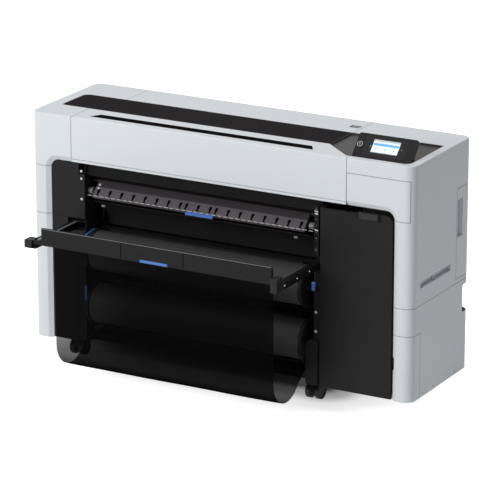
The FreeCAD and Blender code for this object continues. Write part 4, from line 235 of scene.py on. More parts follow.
# ---------------------------------------------------------------- dark plastics and painted steel
# Doors, fascias and blocks are black moulded plastic; the frame, beams and bar are sheet steel
# with a fine black powder coat.
black = material("black plastic", (0.010, 0.010, 0.0105), (0.015, 0.015, 0.016), (0.42, 0.52), depth=0.03,
                 rub=0.25, worn=(0.045, 0.045, 0.047), dust=0.02, specular=0.10)
dress(black, "ink_door", "ink_cartridges", "left_fascia", "left_lower_panel", "right_lower_box",
      "power_inlet", "upper_roll_adapters", "lower_roll_adapters", "control_panel", "power_button")
coat = material("powder coat", (0.009, 0.009, 0.0095), (0.013, 0.013, 0.0135), (0.5, 0.62), fineness=1400.0,
                depth=0.05, rub=0.3, worn=(0.045, 0.045, 0.047), dust=0.02, specular=0.10)
dress(coat, "base_frame", "upper_frame", "side_frames", "stacker_bar", "right_metal_strip")
deep = material("deep black coat", (0.003, 0.003, 0.003), (0.005, 0.005, 0.005), (0.6, 0.7), fineness=1400.0,
                depth=0.05, rub=0.2, worn=(0.02, 0.02, 0.02), dust=0.0, specular=0.1)
dress(deep, "cross_beams", "platen")
charcoal = material("charcoal trim", (0.013, 0.0125, 0.013), (0.019, 0.0185, 0.019), (0.38, 0.5), depth=0.03,
                    rub=0.3, worn=(0.055, 0.054, 0.055), dust=0.03, specular=0.12)
dress(charcoal, "carriage", "capping_station", "paper_guide")
saddle = material("roll cover plastic", (0.060, 0.058, 0.060), (0.074, 0.072, 0.074), (0.42, 0.52),
                  depth=0.01, rub=0.0, dust=0.0, specular=0.12)
dress(saddle, "upper_roll_cover", "lower_roll_cover")
steel = material("bare steel", (0.42, 0.42, 0.42), (0.56, 0.56, 0.555), (0.26, 0.42), metal=1.0,
                 fineness=700.0, depth=0.02, rub=0.2, worn=(0.7, 0.7, 0.69), dust=0.08)
dress(steel, "ink_rack", "carriage_rail", "electronics_box", "pinch_rollers")
rubber = material("roller rubber", (0.016, 0.016, 0.016), (0.028, 0.028, 0.027), (0.6, 0.78), fineness=500.0,
                  depth=0.08, rub=0.4, worn=(0.07, 0.068, 0.066), dust=0.25)
dress(rubber, "feed_roller", "carriage_drive")
for end in ("front", "rear"):
    for side in ("left", "right"):
        dress(rubber, "caster_wheels_" + end + "_" + side)
        dress(black, "caster_yoke_" + end + "_" + side)
blue = material("blue plastic", (0.035, 0.125, 0.42), (0.05, 0.16, 0.50), (0.3, 0.4), depth=0.02, rub=0.3,
                worn=(0.12, 0.28, 0.66), dust=0.05)
dress(blue, "output_handle", "upper_left_lever", "lower_left_lever", "upper_right_lever")
paper = material("roll paper", (0.72, 0.72, 0.71), (0.80, 0.80, 0.79), (0.7, 0.8), fineness=300.0, depth=0.02,
                 rub=0.1, dust=0.02)
dress(paper, "upper_paper_roll", "lower_paper_roll")

# ---------------------------------------------------------------- touch screen
# Black cover glass over the display, and the lit picture behind it: a pale page with a blue
# bar and plain list rows.
glass = material("cover glass", (0.010, 0.010, 0.011), (0.013, 0.013, 0.014), (0.06, 0.10), fineness=200.0,
                 depth=0.001, edge=0.0006, rub=0.1, dust=0.01, specular=0.10)
dress(glass, "control_screen")
TILT = math.radians(45.0)
PANEL_LEFT = 626.0
PANEL_FOOT = (60.0, 1158.0)
PANEL_LENGTH = 123.0


def on_panel(a, b, lift):
    """Point on the control panel: a from its left edge, b down from its top edge, lift off its face."""
    u = PANEL_LENGTH - b
    return at(PANEL_LEFT + a, PANEL_FOOT[0] + u * math.cos(TILT) - lift * math.sin(TILT),
              PANEL_FOOT[1] + u * math.sin(TILT) + lift * math.cos(TILT))


def new_piece(name, verts, faces, made, body):
    """Mesh object at the origin, dressed, riding on its body."""
    mesh = bpy.data.meshes.new(name)
    mesh.from_pydata([tuple(v) for v in verts], [], faces)
    mesh.update()
    piece = bpy.data.objects.new(name, mesh)
    bpy.context.scene.collection.objects.link(piece)
    mesh.materials.append(made)
    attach(piece, body)
    return piece


CUBE_FACES = [(0, 3, 2, 1), (4, 5, 6, 7), (0, 1, 5, 4), (1, 2, 6, 5), (2, 3, 7, 6), (3, 0, 4, 7)]


def joined(bodies):
    """Points and faces of several eight-cornered bodies as one piece."""
    verts, faces = [], []
    for corners in bodies:
        faces += [tuple(len(verts) + k for k in face) for face in CUBE_FACES]
        verts += corners
    return verts, faces


def slab_on_panel(a, b, lift):
    """Corner points of a thin slab lying on the panel's face."""
    low = [on_panel(a[i], b[j], lift[0]) for i, j in ((0, 1), (1, 1), (1, 0), (0, 0))]
    high = [on_panel(a[i], b[j], lift[1]) for i, j in ((0, 1), (1, 1), (1, 0), (0, 0))]
    return low + high


def lit(name, low, high, power):
    """Backlit colour with the faint unevenness of a display's light guide."""
    made = bpy.data.materials.new(name)
    made.use_nodes = True
    tree = made.node_tree
    shader = tree.nodes["Principled BSDF"]
    place = tree.nodes.new("ShaderNodeTexCoord")
    noise = tree.nodes.new("ShaderNodeTexNoise")
    noise.inputs["Scale"].default_value = 12.0
    tree.links.new(place.outputs["Object"], noise.inputs["Vector"])
    colour = mix_colour(tree, noise.outputs["Fac"], low, high)
    tree.links.new(colour, shader.inputs["Base Color"])
    tree.links.new(colour, shader.inputs["Emission Color"])
    shader.inputs["Emission Strength"].default_value = power
    shader.inputs["Roughness"].default_value = 0.2
    return made


page = lit("display page", (0.70, 0.78, 0.86), (0.80, 0.86, 0.92), 0.28)
bar_blue = lit("display blue", (0.05, 0.30, 0.75), (0.08, 0.36, 0.85), 0.5)
row_grey = lit("display grey", (0.35, 0.40, 0.46), (0.42, 0.47, 0.52), 0.4)
new_piece("display_page", slab_on_panel((78, 203), (24, 88), (0.1, 0.3)), CUBE_FACES, page, "control_panel")
PRINT_LIFT = (0.2, 0.45)
verts, faces = joined(slab_on_panel(a, b, PRINT_LIFT) for a, b in (
    ((80, 201), (41, 53)), ((93, 101), (66, 71)), ((136, 144), (66, 71)), ((179, 187), (66, 71))))
new_piece("display_blue", verts, faces, bar_blue, "control_panel")
verts, faces = joined(slab_on_panel(a, b, PRINT_LIFT) for a, b in (
    ((78, 203), (24, 33)), ((78, 203), (85, 88)), ((92, 102), (75, 77)), ((135, 145), (75, 77)),
    ((178, 188), (75, 77))))
new_piece("display_rows", verts, faces, row_grey, "control_panel")


def disc_on_panel(a, b, radii, lift, steps=40):
    """Flat ring on the panel, closed below: outer and inner radius, between two lifts."""
    verts, faces = [], []
    for k in range(steps):
        angle = 2.0 * math.pi * k / steps
        for r, h in ((0, 0), (0, 1), (1, 1), (1, 0)):
            radius, height = radii[r], lift[h]
            verts.append(on_panel(a + radius * math.cos(angle), b - radius * math.sin(angle), height))
    for k in range(steps):
        for i in range(4):
            here, there = 4 * k, 4 * ((k + 1) % steps)
            faces.append((here + i, there + i, there + (i + 1) % 4, here + (i + 1) % 4))
    return verts, faces


ring = lit("ring light", (0.55, 0.60, 0.66), (0.65, 0.70, 0.74), 0.25)
verts, faces = disc_on_panel(18.5, 56.5, (12.6, 11.2), (1.9, 2.2))
new_piece("power_ring", verts, faces, ring, "power_button")
verts, faces = disc_on_panel(18.5, 56.5, (4.6, 3.7), (1.9, 2.15), 24)
new_piece("power_mark", verts, faces, ring, "power_button")
for index, (a, b) in enumerate(((69, 59), (217, 59))):
    verts, faces = disc_on_panel(a, b, (1.8, 0.2), (0.05, 0.25), 16)
    new_piece("panel_light_%d" % index, verts, faces, ring, "control_panel")

# ---------------------------------------------------------------- output guide
# Slanted sheet of painted steel under the print slot: mauve grey above its fold, paler where it is
# slotted, with a polished lip punched into dashes and two steel screws, both painted pale as a highlight for
# their shine, and pale hubs at its ends.
GUIDE_TOP = (92.0, 866.0)
GUIDE_FOOT = (30.0, 806.0)
GUIDE_LENGTH = math.hypot(GUIDE_FOOT[0] - GUIDE_TOP[0], GUIDE_FOOT[1] - GUIDE_TOP[1])
GUIDE_FOLD_Z = 0.8408


def on_guide(x, along, lift):
    """Point on the guide: x across the machine, along down its slope, lift off its face."""
    uy = (GUIDE_FOOT[0] - GUIDE_TOP[0]) / GUIDE_LENGTH
    uz = (GUIDE_FOOT[1] - GUIDE_TOP[1]) / GUIDE_LENGTH
    return at(x, GUIDE_TOP[0] + uy * along + uz * lift, GUIDE_TOP[1] + uz * along - uy * lift)


def two_tone(name, beyond, before, axis, split, **finish):
    """Finish whose colour changes at one place along the piece's own axis."""
    made = material(name, beyond, beyond, (0.42, 0.5), depth=0.02, dust=0.0, **finish)
    tree = made.node_tree
    place = tree.nodes.new("ShaderNodeTexCoord")
    parts = tree.nodes.new("ShaderNodeSeparateXYZ")
    tree.links.new(place.outputs["Object"], parts.inputs[0])
    step = tree.nodes.new("ShaderNodeMapRange")
    step.inputs["From Min"].default_value = split + 0.0008
    step.inputs["From Max"].default_value = split - 0.0008
    tree.links.new(parts.outputs[axis], step.inputs["Value"])
    noise = tree.nodes.new("ShaderNodeTexNoise")
    noise.inputs["Scale"].default_value = 5.0
    tree.links.new(place.outputs["Object"], noise.inputs["Vector"])
    varied = mix_colour(tree, noise.outputs["Fac"], before, tuple(0.88 * part for part in before))
    base = tree.nodes["Principled BSDF"].inputs["Base Color"]
    tree.links.new(mix_colour(tree, step.outputs["Result"], base.links[0].from_socket, varied), base)
    return made


dress(two_tone("guide paint", (0.042, 0.033, 0.038), (0.125, 0.112, 0.122), "Z", GUIDE_FOLD_Z, rub=0.3,
               worn=(0.2, 0.19, 0.2), specular=0.2), "output_guide")
dress(two_tone("screw finish", (0.03, 0.03, 0.03), (0.62, 0.62, 0.61), "Z", 0.6, specular=0.5), "screws")


def row_group():
    """Geometry group: copies of one small item set out at even steps and kept as real mesh."""
    tree = bpy.data.node_groups.new("row", "GeometryNodeTree")
    for label, kind in (("Item", "Geometry"), ("Count", "Int"), ("Start", "Vector"), ("Step", "Vector"),
                        ("Finish", "Material")):
        tree.interface.new_socket(label, in_out="INPUT", socket_type="NodeSocket" + kind)
    tree.interface.new_socket("Row", in_out="OUTPUT", socket_type="NodeSocketGeometry")
    gin = tree.nodes.new("NodeGroupInput")
    gout = tree.nodes.new("NodeGroupOutput")
    line = tree.nodes.new("GeometryNodeMeshLine")
    spread = tree.nodes.new("GeometryNodeInstanceOnPoints")
    real = tree.nodes.new("GeometryNodeRealizeInstances")
    paint = tree.nodes.new("GeometryNodeSetMaterial")
    tree.links.new(gin.outputs["Count"], line.inputs["Count"])
    tree.links.new(gin.outputs["Start"], line.inputs["Start Location"])
    tree.links.new(gin.outputs["Step"], line.inputs["Offset"])
    tree.links.new(line.outputs["Mesh"], spread.inputs["Points"])
    tree.links.new(gin.outputs["Item"], spread.inputs["Instance"])
    tree.links.new(spread.outputs["Instances"], real.inputs["Geometry"])
    tree.links.new(real.outputs["Geometry"], paint.inputs["Geometry"])
    tree.links.new(gin.outputs["Finish"], paint.inputs["Material"])
    tree.links.new(paint.outputs["Geometry"], gout.inputs["Row"])
    return tree


ROW = row_group()


def row_of(name, item, count, start, step, made, body):
    """Piece made of evenly spaced copies of an item, given as points about its own middle and faces."""
    mesh = bpy.data.meshes.new(name)
    mesh.from_pydata([tuple(v) for v in item[0]], [], item[1])
    piece = bpy.data.objects.new(name, mesh)
    bpy.context.scene.collection.objects.link(piece)
    modifier = piece.modifiers.new("row", "NODES")
    modifier.node_group = ROW
    values = {"Count": count, "Start": start, "Step": step, "Finish": made}
    for socket in ROW.interface.items_tree:
        if socket.in_out == "INPUT" and socket.name in values:
            value = values[socket.name]
            modifier[socket.identifier] = tuple(value) if isinstance(value, Vector) else value
    laid = piece.evaluated_get(bpy.context.evaluated_depsgraph_get())
    plain = bpy.data.meshes.new_from_object(laid)
    piece.modifiers.remove(modifier)
    piece.data = plain
    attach(piece, body)
    return piece


def block(x, y, z):
    """Corner points of a box between machine millimetres."""
    low = [at(x[i], y[j], z[0]) for i, j in ((0, 0), (1, 0), (1, 1), (0, 1))]
    return low + [at(x[i], y[j], z[1]) for i, j in ((0, 0), (1, 0), (1, 1), (0, 1))]


def lathe(profile, middle, axis, side, steps=24):
    """Closed turned body: profile of (radius, height) from its foot's middle to its head's middle."""
    axis = axis.normalized()
    side = side.normalized()
    other = axis.cross(side)
    verts, faces = [], []
    for radius, height in profile:
        for k in range(steps):
            angle = 2.0 * math.pi * k / steps
            verts.append(middle + axis * height / 1000.0
                         + (side * math.cos(angle) + other * math.sin(angle)) * radius / 1000.0)
    for r in range(len(profile) - 1):
        for k in range(steps):
            a, b = r * steps + k, r * steps + (k + 1) % steps
            faces.append((a, b, b + steps, a + steps))
    faces.append(tuple(reversed(range(steps))))
    faces.append(tuple((len(profile) - 1) * steps + k for k in range(steps)))
    return verts, faces


def screw_head(radius, height):
    """Domed head with a round driver recess."""
    return [(radius, 0.0), (radius, 0.35 * height), (0.8 * radius, 0.8 * height), (0.45 * radius, height),
            (0.34 * radius, height), (0.2 * radius, 0.55 * height)]


polished = material("polished steel", (0.74, 0.74, 0.73), (0.84, 0.84, 0.83), (0.18, 0.3), metal=1.0,
                    fineness=700.0, depth=0.01, edge=0.0004, rub=0.1, dust=0.0)
# Pale matt paint: on the guide lip's dashes, the screws and the strip's clips it is a painted highlight for
# the shine of bright metal.
bright = material("bright lip", (0.62, 0.62, 0.61), (0.74, 0.74, 0.73), (0.3, 0.4), fineness=700.0,
                  depth=0.01, edge=0.0004, rub=0.1, dust=0.0)
DASH_PITCH = 30.18
DASH = (20.0, 2.6, 0.4)
along = (on_guide(0.0, 1.0, 0.0) - on_guide(0.0, 0.0, 0.0)).normalized()
up = (on_guide(0.0, 0.0, 1.0) - on_guide(0.0, 0.0, 0.0)).normalized()
wide = Vector((DASH[0] / 2000.0, 0.0, 0.0))
dash = [side * wide + along * a * DASH[1] / 1000.0 + up * b * DASH[2] / 1000.0
        for b in (0.02, 1.0) for side, a in ((-1.0, 1.0), (1.0, 1.0), (1.0, 0.0), (-1.0, 0.0))]
first_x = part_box("left_fascia")[1].x + 0.016
last_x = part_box("right_metal_strip")[0].x - 0.016
count = int((last_x - first_x) * 1000.0 / DASH_PITCH) + 1
ends = on_guide(0.0, GUIDE_LENGTH - DASH[1] - 0.6, 0.0)
row_of("lip_dashes", (dash, CUBE_FACES), count, Vector((first_x, ends.y, ends.z)),
       Vector((DASH_PITCH / 1000.0, 0.0, 0.0)), bright, "output_guide")
verts, faces = lathe(screw_head(6.0, 2.2), Vector((0, 0, 0)), up, Vector((1, 0, 0)))
row_of("guide_screws", (verts, faces), 2, on_guide(-640.0, 24.0, 0.0),
       on_guide(-640.0, 42.0, 0.0) - on_guide(-640.0, 24.0, 0.0), bright, "output_guide")
pale = material("pale plastic", (0.13, 0.13, 0.128), (0.17, 0.17, 0.166), (0.4, 0.5), depth=0.03, rub=0.3,
                worn=(0.26, 0.26, 0.25), dust=0.0)
HUB = [(9.0, 0.0), (15.0, 0.0), (16.0, 1.0), (16.0, 23.0), (15.0, 24.0), (9.0, 24.0), (9.0, 20.0),
       (4.0, 20.0)]
verts, faces = lathe(HUB, Vector((0, 0, 0)), Vector((1, 0, 0)), Vector((0, 0, 1)), 36)
row_of("guide_hubs_left", (verts, faces), 1, at(-685.5, 58.0, 822.0), Vector((1, 0, 0)), pale, "cabinet")
verts, faces = lathe(HUB, Vector((0, 0, 0)), Vector((-1, 0, 0)), Vector((0, 0, 1)), 36)
row_of("guide_hubs_right", (verts, faces), 1, at(457.0, 58.0, 822.0), Vector((1, 0, 0)), pale, "cabinet")
ROLLER = [(3.0, 0.0), (5.0, 0.0), (6.0, 1.0), (6.0, 17.0), (5.0, 18.0), (3.0, 18.0)]
verts, faces = lathe(ROLLER, Vector((0, 0, 0)), Vector((1, 0, 0)), Vector((0, 0, 1)))
row_of("small_rollers", (verts, faces), 2, at(-615.0, 47.5, 762.0), Vector((0.975, 0.0, 0.0)), pale,
       "cabinet")

# ---------------------------------------------------------------- left fascia's fixings
# The moulded fascia is held by three zinc plated pan head screws down its inner edge, painted pale as a
# highlight for their plating's shine.
FASCIA_FACE = 14.0
verts, faces = lathe(screw_head(6.0, 2.6), Vector((0, 0, 0)), Vector((0, -1, 0)), Vector((1, 0, 0)))
row_of("fascia_screws_high", (verts, faces), 2, at(-700.0, FASCIA_FACE, 919.0), Vector((0, 0, -0.035)),
       bright, "cabinet")
row_of("fascia_screw_low", (verts, faces), 1, at(-700.0, FASCIA_FACE, 789.0), Vector((1, 0, 0)), bright,
       "cabinet")

# ---------------------------------------------------------------- ink door latch
# A satin plastic finger tab stands over the door's top edge between two thin black sheets on the door,
# painted shade for the recesses there.
DOOR_FACE = (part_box("ink_door")[0].y - SHIFT_Y) * 1000.0
TAB_X = (696.0, 788.0)
TAB_Z = (907.0, 936.5)
satin = material("satin grey plastic", (0.012, 0.012, 0.0125), (0.017, 0.017, 0.0175), (0.36, 0.46),
                 depth=0.02, edge=0.0014, rub=0.5, worn=(0.004, 0.004, 0.004), dust=0.0, specular=0.22)
front, rear = DOOR_FACE - 2.4, DOOR_FACE - 0.1
corners = ((TAB_X[0], TAB_Z[0] + 3.0), (TAB_X[0] + 3.0, TAB_Z[0]), (TAB_X[1] - 9.0, TAB_Z[0]),
           (TAB_X[1], TAB_Z[0] + 9.0), (TAB_X[1], TAB_Z[1]), (TAB_X[0], TAB_Z[1]))
verts = [at(x, y, z) for y in (front, rear) for x, z in corners]
size = len(corners)
faces = [tuple(range(size)), tuple(reversed(range(size, 2 * size)))]
faces += [(k, k + size, (k + 1) % size + size, (k + 1) % size) for k in range(size)]
new_piece("latch_tab", verts, faces, satin, "ink_door")
# Painted shade: two thin deep black sheets on the door's face stand for the dark recesses beside the tab.
verts, faces = joined(block(x, (DOOR_FACE - 0.35, DOOR_FACE - 0.05), (TAB_Z[0] + 1.0, TAB_Z[1] - 1.0))
                      for x in ((TAB_X[0] - 8.0, TAB_X[0] - 1.0), (TAB_X[1] + 1.0, TAB_X[1] + 9.0)))
new_piece("latch_recess_shade", verts, faces, deep, "ink_door")

# ---------------------------------------------------------------- catcher bar and arms
# The bar is three painted lengths meeting at fine joints, with a paler strip along its top edge and a blue
# grip mark; the left arm carries a thin pale sheet on its top face, a painted highlight, and the right arm
# pan head screws.
BAR_FACE = -345.0
BAR_Z = (672.0, 750.0)
edge_paint = material("rubbed edge", (0.13, 0.13, 0.133), (0.18, 0.18, 0.184), (0.34, 0.44), depth=0.02,
                      rub=0.2, dust=0.0)
BAR_SKIN = (BAR_FACE - 0.25, BAR_FACE - 0.02)
verts = block((-686.5, 460.5), BAR_SKIN, (BAR_Z[1] - 2.6, BAR_Z[1] - 0.2))
new_piece("bar_top_edge", verts, CUBE_FACES, edge_paint, "stacker")
JOINT_HALF = 2.2
verts, faces = joined(block((x - JOINT_HALF, x + JOINT_HALF), BAR_SKIN, (BAR_Z[0] + 6.0, BAR_Z[1] - 3.0))
                      for x in (-282.0, 30.0))
new_piece("bar_joints", verts, faces, strip, "stacker")
verts = block((-185.0, -48.0), (BAR_FACE - 1.6, BAR_FACE - 0.05), (BAR_Z[0] + 0.5, BAR_Z[0] + 13.0))
new_piece("bar_grip_mark", verts, CUBE_FACES, blue, "stacker")
dress(two_tone("arm plastic", (0.004, 0.004, 0.004), (0.012, 0.012, 0.0125), "Y", -0.405, rub=0.3,
               worn=(0.045, 0.045, 0.047), specular=0.15), "stacker_arms")
arm_top_highlight = material("bright slide", (0.20, 0.20, 0.207), (0.26, 0.26, 0.267), (0.3, 0.4), metal=0.3,
                 fineness=700.0, depth=0.02, rub=0.2, dust=0.0)
# Painted highlight: a thin pale sheet on the left arm's top face, where light falls along it.
verts = block((-744.0, -731.0), (-296.0, 60.0), (677.02, 677.2))
new_piece("left_arm_top_highlight", verts, CUBE_FACES, arm_top_highlight, "stacker")
verts, faces = lathe(screw_head(4.6, 1.7), Vector((0, 0, 0)), Vector((1, 0, 0)), Vector((0, 1, 0)))
row_of("arm_screws", (verts, faces), 3, at(498.02, -70.0, 661.0), Vector((0, -0.112, 0)), polished, "stacker")

# ---------------------------------------------------------------- marks on the metal strip
# Three slanted spring clips shine through the strip's slots, painted pale as a highlight for that shine, with
# a row of small rivets below them.
STRIP_FACE = 14.0
CLIP_X = (477.5, 493.0)
CLIP_Y = (STRIP_FACE - 1.0, STRIP_FACE - 0.05)
CLIP_SLANT = 3.0
CLIP_HALF = 2.8
verts, faces = joined([at(CLIP_X[i], CLIP_Y[j], z + h - i * CLIP_SLANT) for h in (-CLIP_HALF, CLIP_HALF)
                       for i, j in ((0, 0), (1, 0), (1, 1), (0, 1))] for z in (907.0, 896.0, 823.0))
new_piece("strip_clips", verts, faces, bright, "cabinet")
verts, faces = lathe(screw_head(2.6, 1.2), Vector((0, 0, 0)), Vector((0, -1, 0)), Vector((1, 0, 0)))
row_of("strip_rivets", (verts, faces), 4, at(485.5, STRIP_FACE, 869.0), Vector((0, 0, -0.028)), pale,
       "cabinet")

# ---------------------------------------------------------------- print catcher cloth
# One piece of fine black mesh cloth, hung from a hem clamp in the bar's back, falling straight,
# turning in a soft belly near the floor and rising to its hem on the guard below the roll.
NET_X = (-630.0, 463.0)
NET_TAIL = 438.0
NET_FRONT = -331.7
NET_BELLY = (124.0, 99.0)
NET_REAR = (64.4, 186.0)
NET_PATH = [(NET_FRONT, 735.0)]
for k in range(16):
    angle = math.radians(180.0 + 150.0 * k / 15.0)
    NET_PATH.append((NET_FRONT + NET_BELLY[0] + NET_BELLY[0] * math.cos(angle),
                     NET_BELLY[1] + NET_BELLY[0] + NET_BELLY[0] * math.sin(angle)))
NET_PATH.append(NET_REAR)


def along_path(path, count):
    """Evenly spaced points along a run of points, with the distance covered."""
    lengths = [0.0]
    for a, b in zip(path, path[1:]):
        lengths.append(lengths[-1] + math.hypot(b[0] - a[0], b[1] - a[1]))
    points = []
    for k in range(count + 1):
        want = lengths[-1] * k / count
        i = max(j for j in range(len(lengths) - 1) if lengths[j] <= want + 1e-9)
        t = (want - lengths[i]) / (lengths[i + 1] - lengths[i])
        points.append(tuple(path[i][side] + t * (path[i + 1][side] - path[i][side]) for side in (0, 1)))
    return points, lengths[-1]


CLOTH_ROWS = 150
CLOTH_COLUMNS = 160


def cloth_sheet():
    """Cloth with slack between its ties: slow folds that grow away from the bar."""
    rows, columns = CLOTH_ROWS, CLOTH_COLUMNS
    points, length = along_path(NET_PATH, rows)
    rng = random.Random(7)
    waves = [(rng.uniform(1.0, 5.0), rng.uniform(0.0, 6.28), rng.uniform(0.4, 1.0)) for _ in range(6)]
    verts, faces = [], []
    for r, (y, z) in enumerate(points):
        before = points[max(r - 1, 0)]
        after = points[min(r + 1, rows)]
        dy, dz = after[0] - before[0], after[1] - before[1]
        size = math.hypot(dy, dz)
        ny, nz = dz / size, -dy / size
        t = r / rows
        free = math.sin(math.pi * min(1.0, t * 1.25)) if t < 0.8 else 0.0
        for c in range(columns + 1):
            s = c / columns
            lift = sum(w * math.sin(f * math.pi * s * 2.0 + p + 1.5 * t) for f, p, w in waves) * 0.5 * free
            edge = min(s, 1.0 - s)
            curl = 3.0 * free * math.exp(-edge * 40.0)
            right = NET_X[1] + (NET_TAIL - NET_X[1]) * min(1.0, max(0.0, (y + 90.0) / 90.0))
            bulge = lift - curl
            verts.append(at(NET_X[0] + s * (right - NET_X[0]), y + ny * bulge, z + nz * bulge))
    for r in range(rows):
        for c in range(columns):
            i = r * (columns + 1) + c
            faces.append((i, i + 1, i + columns + 2, i + columns + 1))
    return verts, faces, length


def weave_group():
    """Plain weave of fine threads: how solid the cloth is, and its relief."""
    tree, gin, gout = group("weave", [("Coordinates", "Vector", None), ("Threads", "Float", 700.0)],
                            [("Solid", "Float"), ("Relief", "Float")])
    scaled = tree.nodes.new("ShaderNodeVectorMath")
    scaled.operation = "SCALE"
    tree.links.new(gin.outputs["Coordinates"], scaled.inputs[0])
    tree.links.new(gin.outputs["Threads"], scaled.inputs["Scale"])
    split = tree.nodes.new("ShaderNodeSeparateXYZ")
    tree.links.new(scaled.outputs["Vector"], split.inputs[0])
    waves = []
    for axis in ("X", "Y"):
        wave = tree.nodes.new("ShaderNodeMath")
        wave.operation = "PINGPONG"
        wave.inputs[1].default_value = 1.0
        tree.links.new(split.outputs[axis], wave.inputs[0])
        waves.append(wave)
    top = tree.nodes.new("ShaderNodeMath")
    top.operation = "MAXIMUM"
    tree.links.new(waves[0].outputs[0], top.inputs[0])
    tree.links.new(waves[1].outputs[0], top.inputs[1])
    tree.links.new(top.outputs[0], gout.inputs["Relief"])
    rng = tree.nodes.new("ShaderNodeMapRange")
    rng.inputs["From Min"].default_value = 0.15
    rng.inputs["From Max"].default_value = 0.55
    tree.links.new(top.outputs[0], rng.inputs["Value"])
    tree.links.new(rng.outputs["Result"], gout.inputs["Solid"])
    return tree


def net_material():
    """Black mesh cloth: threads let a little light through between them."""
    made = bpy.data.materials.new("catcher mesh")
    made.use_nodes = True
    tree = made.node_tree
    shader = tree.nodes["Principled BSDF"]
    uv = tree.nodes.new("ShaderNodeUVMap")
    uv.uv_map = "cloth"
    weave = tree.nodes.new("ShaderNodeGroup")
    weave.node_tree = weave_group()
    tree.links.new(uv.outputs["UV"], weave.inputs["Coordinates"])
    place = tree.nodes.new("ShaderNodeTexCoord")
    grain = tree.nodes.new("ShaderNodeGroup")
    grain.node_tree = GRAIN
    tree.links.new(place.outputs["Object"], grain.inputs["Coordinates"])
    colour = mix_colour(tree, grain.outputs["Mottle"], (0.0022, 0.0022, 0.0024), (0.0036, 0.0036, 0.004))
    tree.links.new(colour, shader.inputs["Base Color"])
    see = tree.nodes.new("ShaderNodeMapRange")
    see.inputs["To Min"].default_value = 0.62
    see.inputs["To Max"].default_value = 0.86
    tree.links.new(weave.outputs["Solid"], see.inputs["Value"])
    slant = tree.nodes.new("ShaderNodeLayerWeight")
    slant.inputs["Blend"].default_value = 0.5
    closed = tree.nodes.new("ShaderNodeMix")
    closed.inputs["B"].default_value = 1.0
    tree.links.new(slant.outputs["Facing"], closed.inputs["Factor"])
    tree.links.new(see.outputs["Result"], closed.inputs["A"])
    tree.links.new(closed.outputs["Result"], shader.inputs["Alpha"])
    bump = tree.nodes.new("ShaderNodeBump")
    bump.inputs["Distance"].default_value = 0.0002
    tree.links.new(weave.outputs["Relief"], bump.inputs["Height"])
    tree.links.new(bump.outputs["Normal"], shader.inputs["Normal"])
    shader.inputs["Roughness"].default_value = 0.85
    shader.inputs["Specular IOR Level"].default_value = 0.0
    return made


verts, faces, net_length = cloth_sheet()
net_mesh = bpy.data.meshes.new("print_catcher")
net_mesh.from_pydata([tuple(v) for v in verts], [], faces)
layer = net_mesh.uv_layers.new(name="cloth")
net_width = NET_X[1] - NET_X[0]
for loop in net_mesh.loops:
    row, column = divmod(loop.vertex_index, CLOTH_COLUMNS + 1)
    layer.data[loop.index].uv = (net_width / 1000.0 * column / CLOTH_COLUMNS,
                                 net_length / 1000.0 * row / CLOTH_ROWS)
net = bpy.data.objects.new("print_catcher", net_mesh)
bpy.context.scene.collection.objects.link(net)
for polygon in net_mesh.polygons:
    polygon.use_smooth = True
net_mesh.materials.append(net_material())
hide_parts("catch_net")
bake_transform(net)

# ---------------------------------------------------------------- studio
# Pale seamless floor and a white backdrop, lit by large soft lamps from the front left and above; the floor's
# camera-seen glow is dimmed under and around the machine as a painted shadow.
TARGET = at(167.0, 0.0, 687.0)
EYE = at(6794.5, -11956.9, 4992.4)
camera = bpy.data.cameras.new("camera")
camera.lens = 237.2
camera.sensor_width = 36.0
camera.clip_end = 100.0
view = bpy.data.objects.new("camera", camera)
bpy.context.scene.collection.objects.link(view)
view.location = EYE
view.rotation_euler = (TARGET - EYE).to_track_quat("-Z", "Y").to_euler()
bpy.context.scene.camera = view


def maths(tree, operation, first, second=None):
    """One vector operation on a socket and, if given, a fixed vector. Returns the result socket."""
    node = tree.nodes.new("ShaderNodeVectorMath")
    node.operation = operation
    tree.links.new(first, node.inputs[0])
    if second is not None:
        node.inputs[1].default_value = second
    return node.outputs["Vector"]


def seen_by_eye(tree):
    """One where the camera sees a surface straight, through something clear or in a mirror."""
    rays = tree.nodes.new("ShaderNodeLightPath")
    seen = rays.outputs["Is Camera Ray"]
    for ray in ("Is Transmission Ray", "Is Glossy Ray"):
        larger = tree.nodes.new("ShaderNodeMath")
        larger.operation = "MAXIMUM"
        tree.links.new(seen, larger.inputs[0])
        tree.links.new(rays.outputs[ray], larger.inputs[1])
        seen = larger.outputs[0]
    return seen


floor_mesh = bpy.data.meshes.new("floor")
floor_mesh.from_pydata([(-30, -30, 0), (30, -30, 0), (30, 30, 0), (-30, 30, 0)], [], [(0, 1, 2, 3)])
floor = bpy.data.objects.new("floor", floor_mesh)
bpy.context.scene.collection.objects.link(floor)
floor_paint = bpy.data.materials.new("floor")
floor_paint.use_nodes = True
floor_tree = floor_paint.node_tree
floor_shader = floor_tree.nodes["Principled BSDF"]
floor_place = floor_tree.nodes.new("ShaderNodeTexCoord")
floor_noise = floor_tree.nodes.new("ShaderNodeTexNoise")
floor_noise.inputs["Scale"].default_value = 0.4
floor_tree.links.new(floor_place.outputs["Object"], floor_noise.inputs["Vector"])
floor_tree.links.new(mix_colour(floor_tree, floor_noise.outputs["Fac"], (0.86, 0.86, 0.865), (0.9, 0.9, 0.9)),
                     floor_shader.inputs["Base Color"])
floor_shader.inputs["Roughness"].default_value = 0.6
floor_mesh.materials.append(floor_paint)
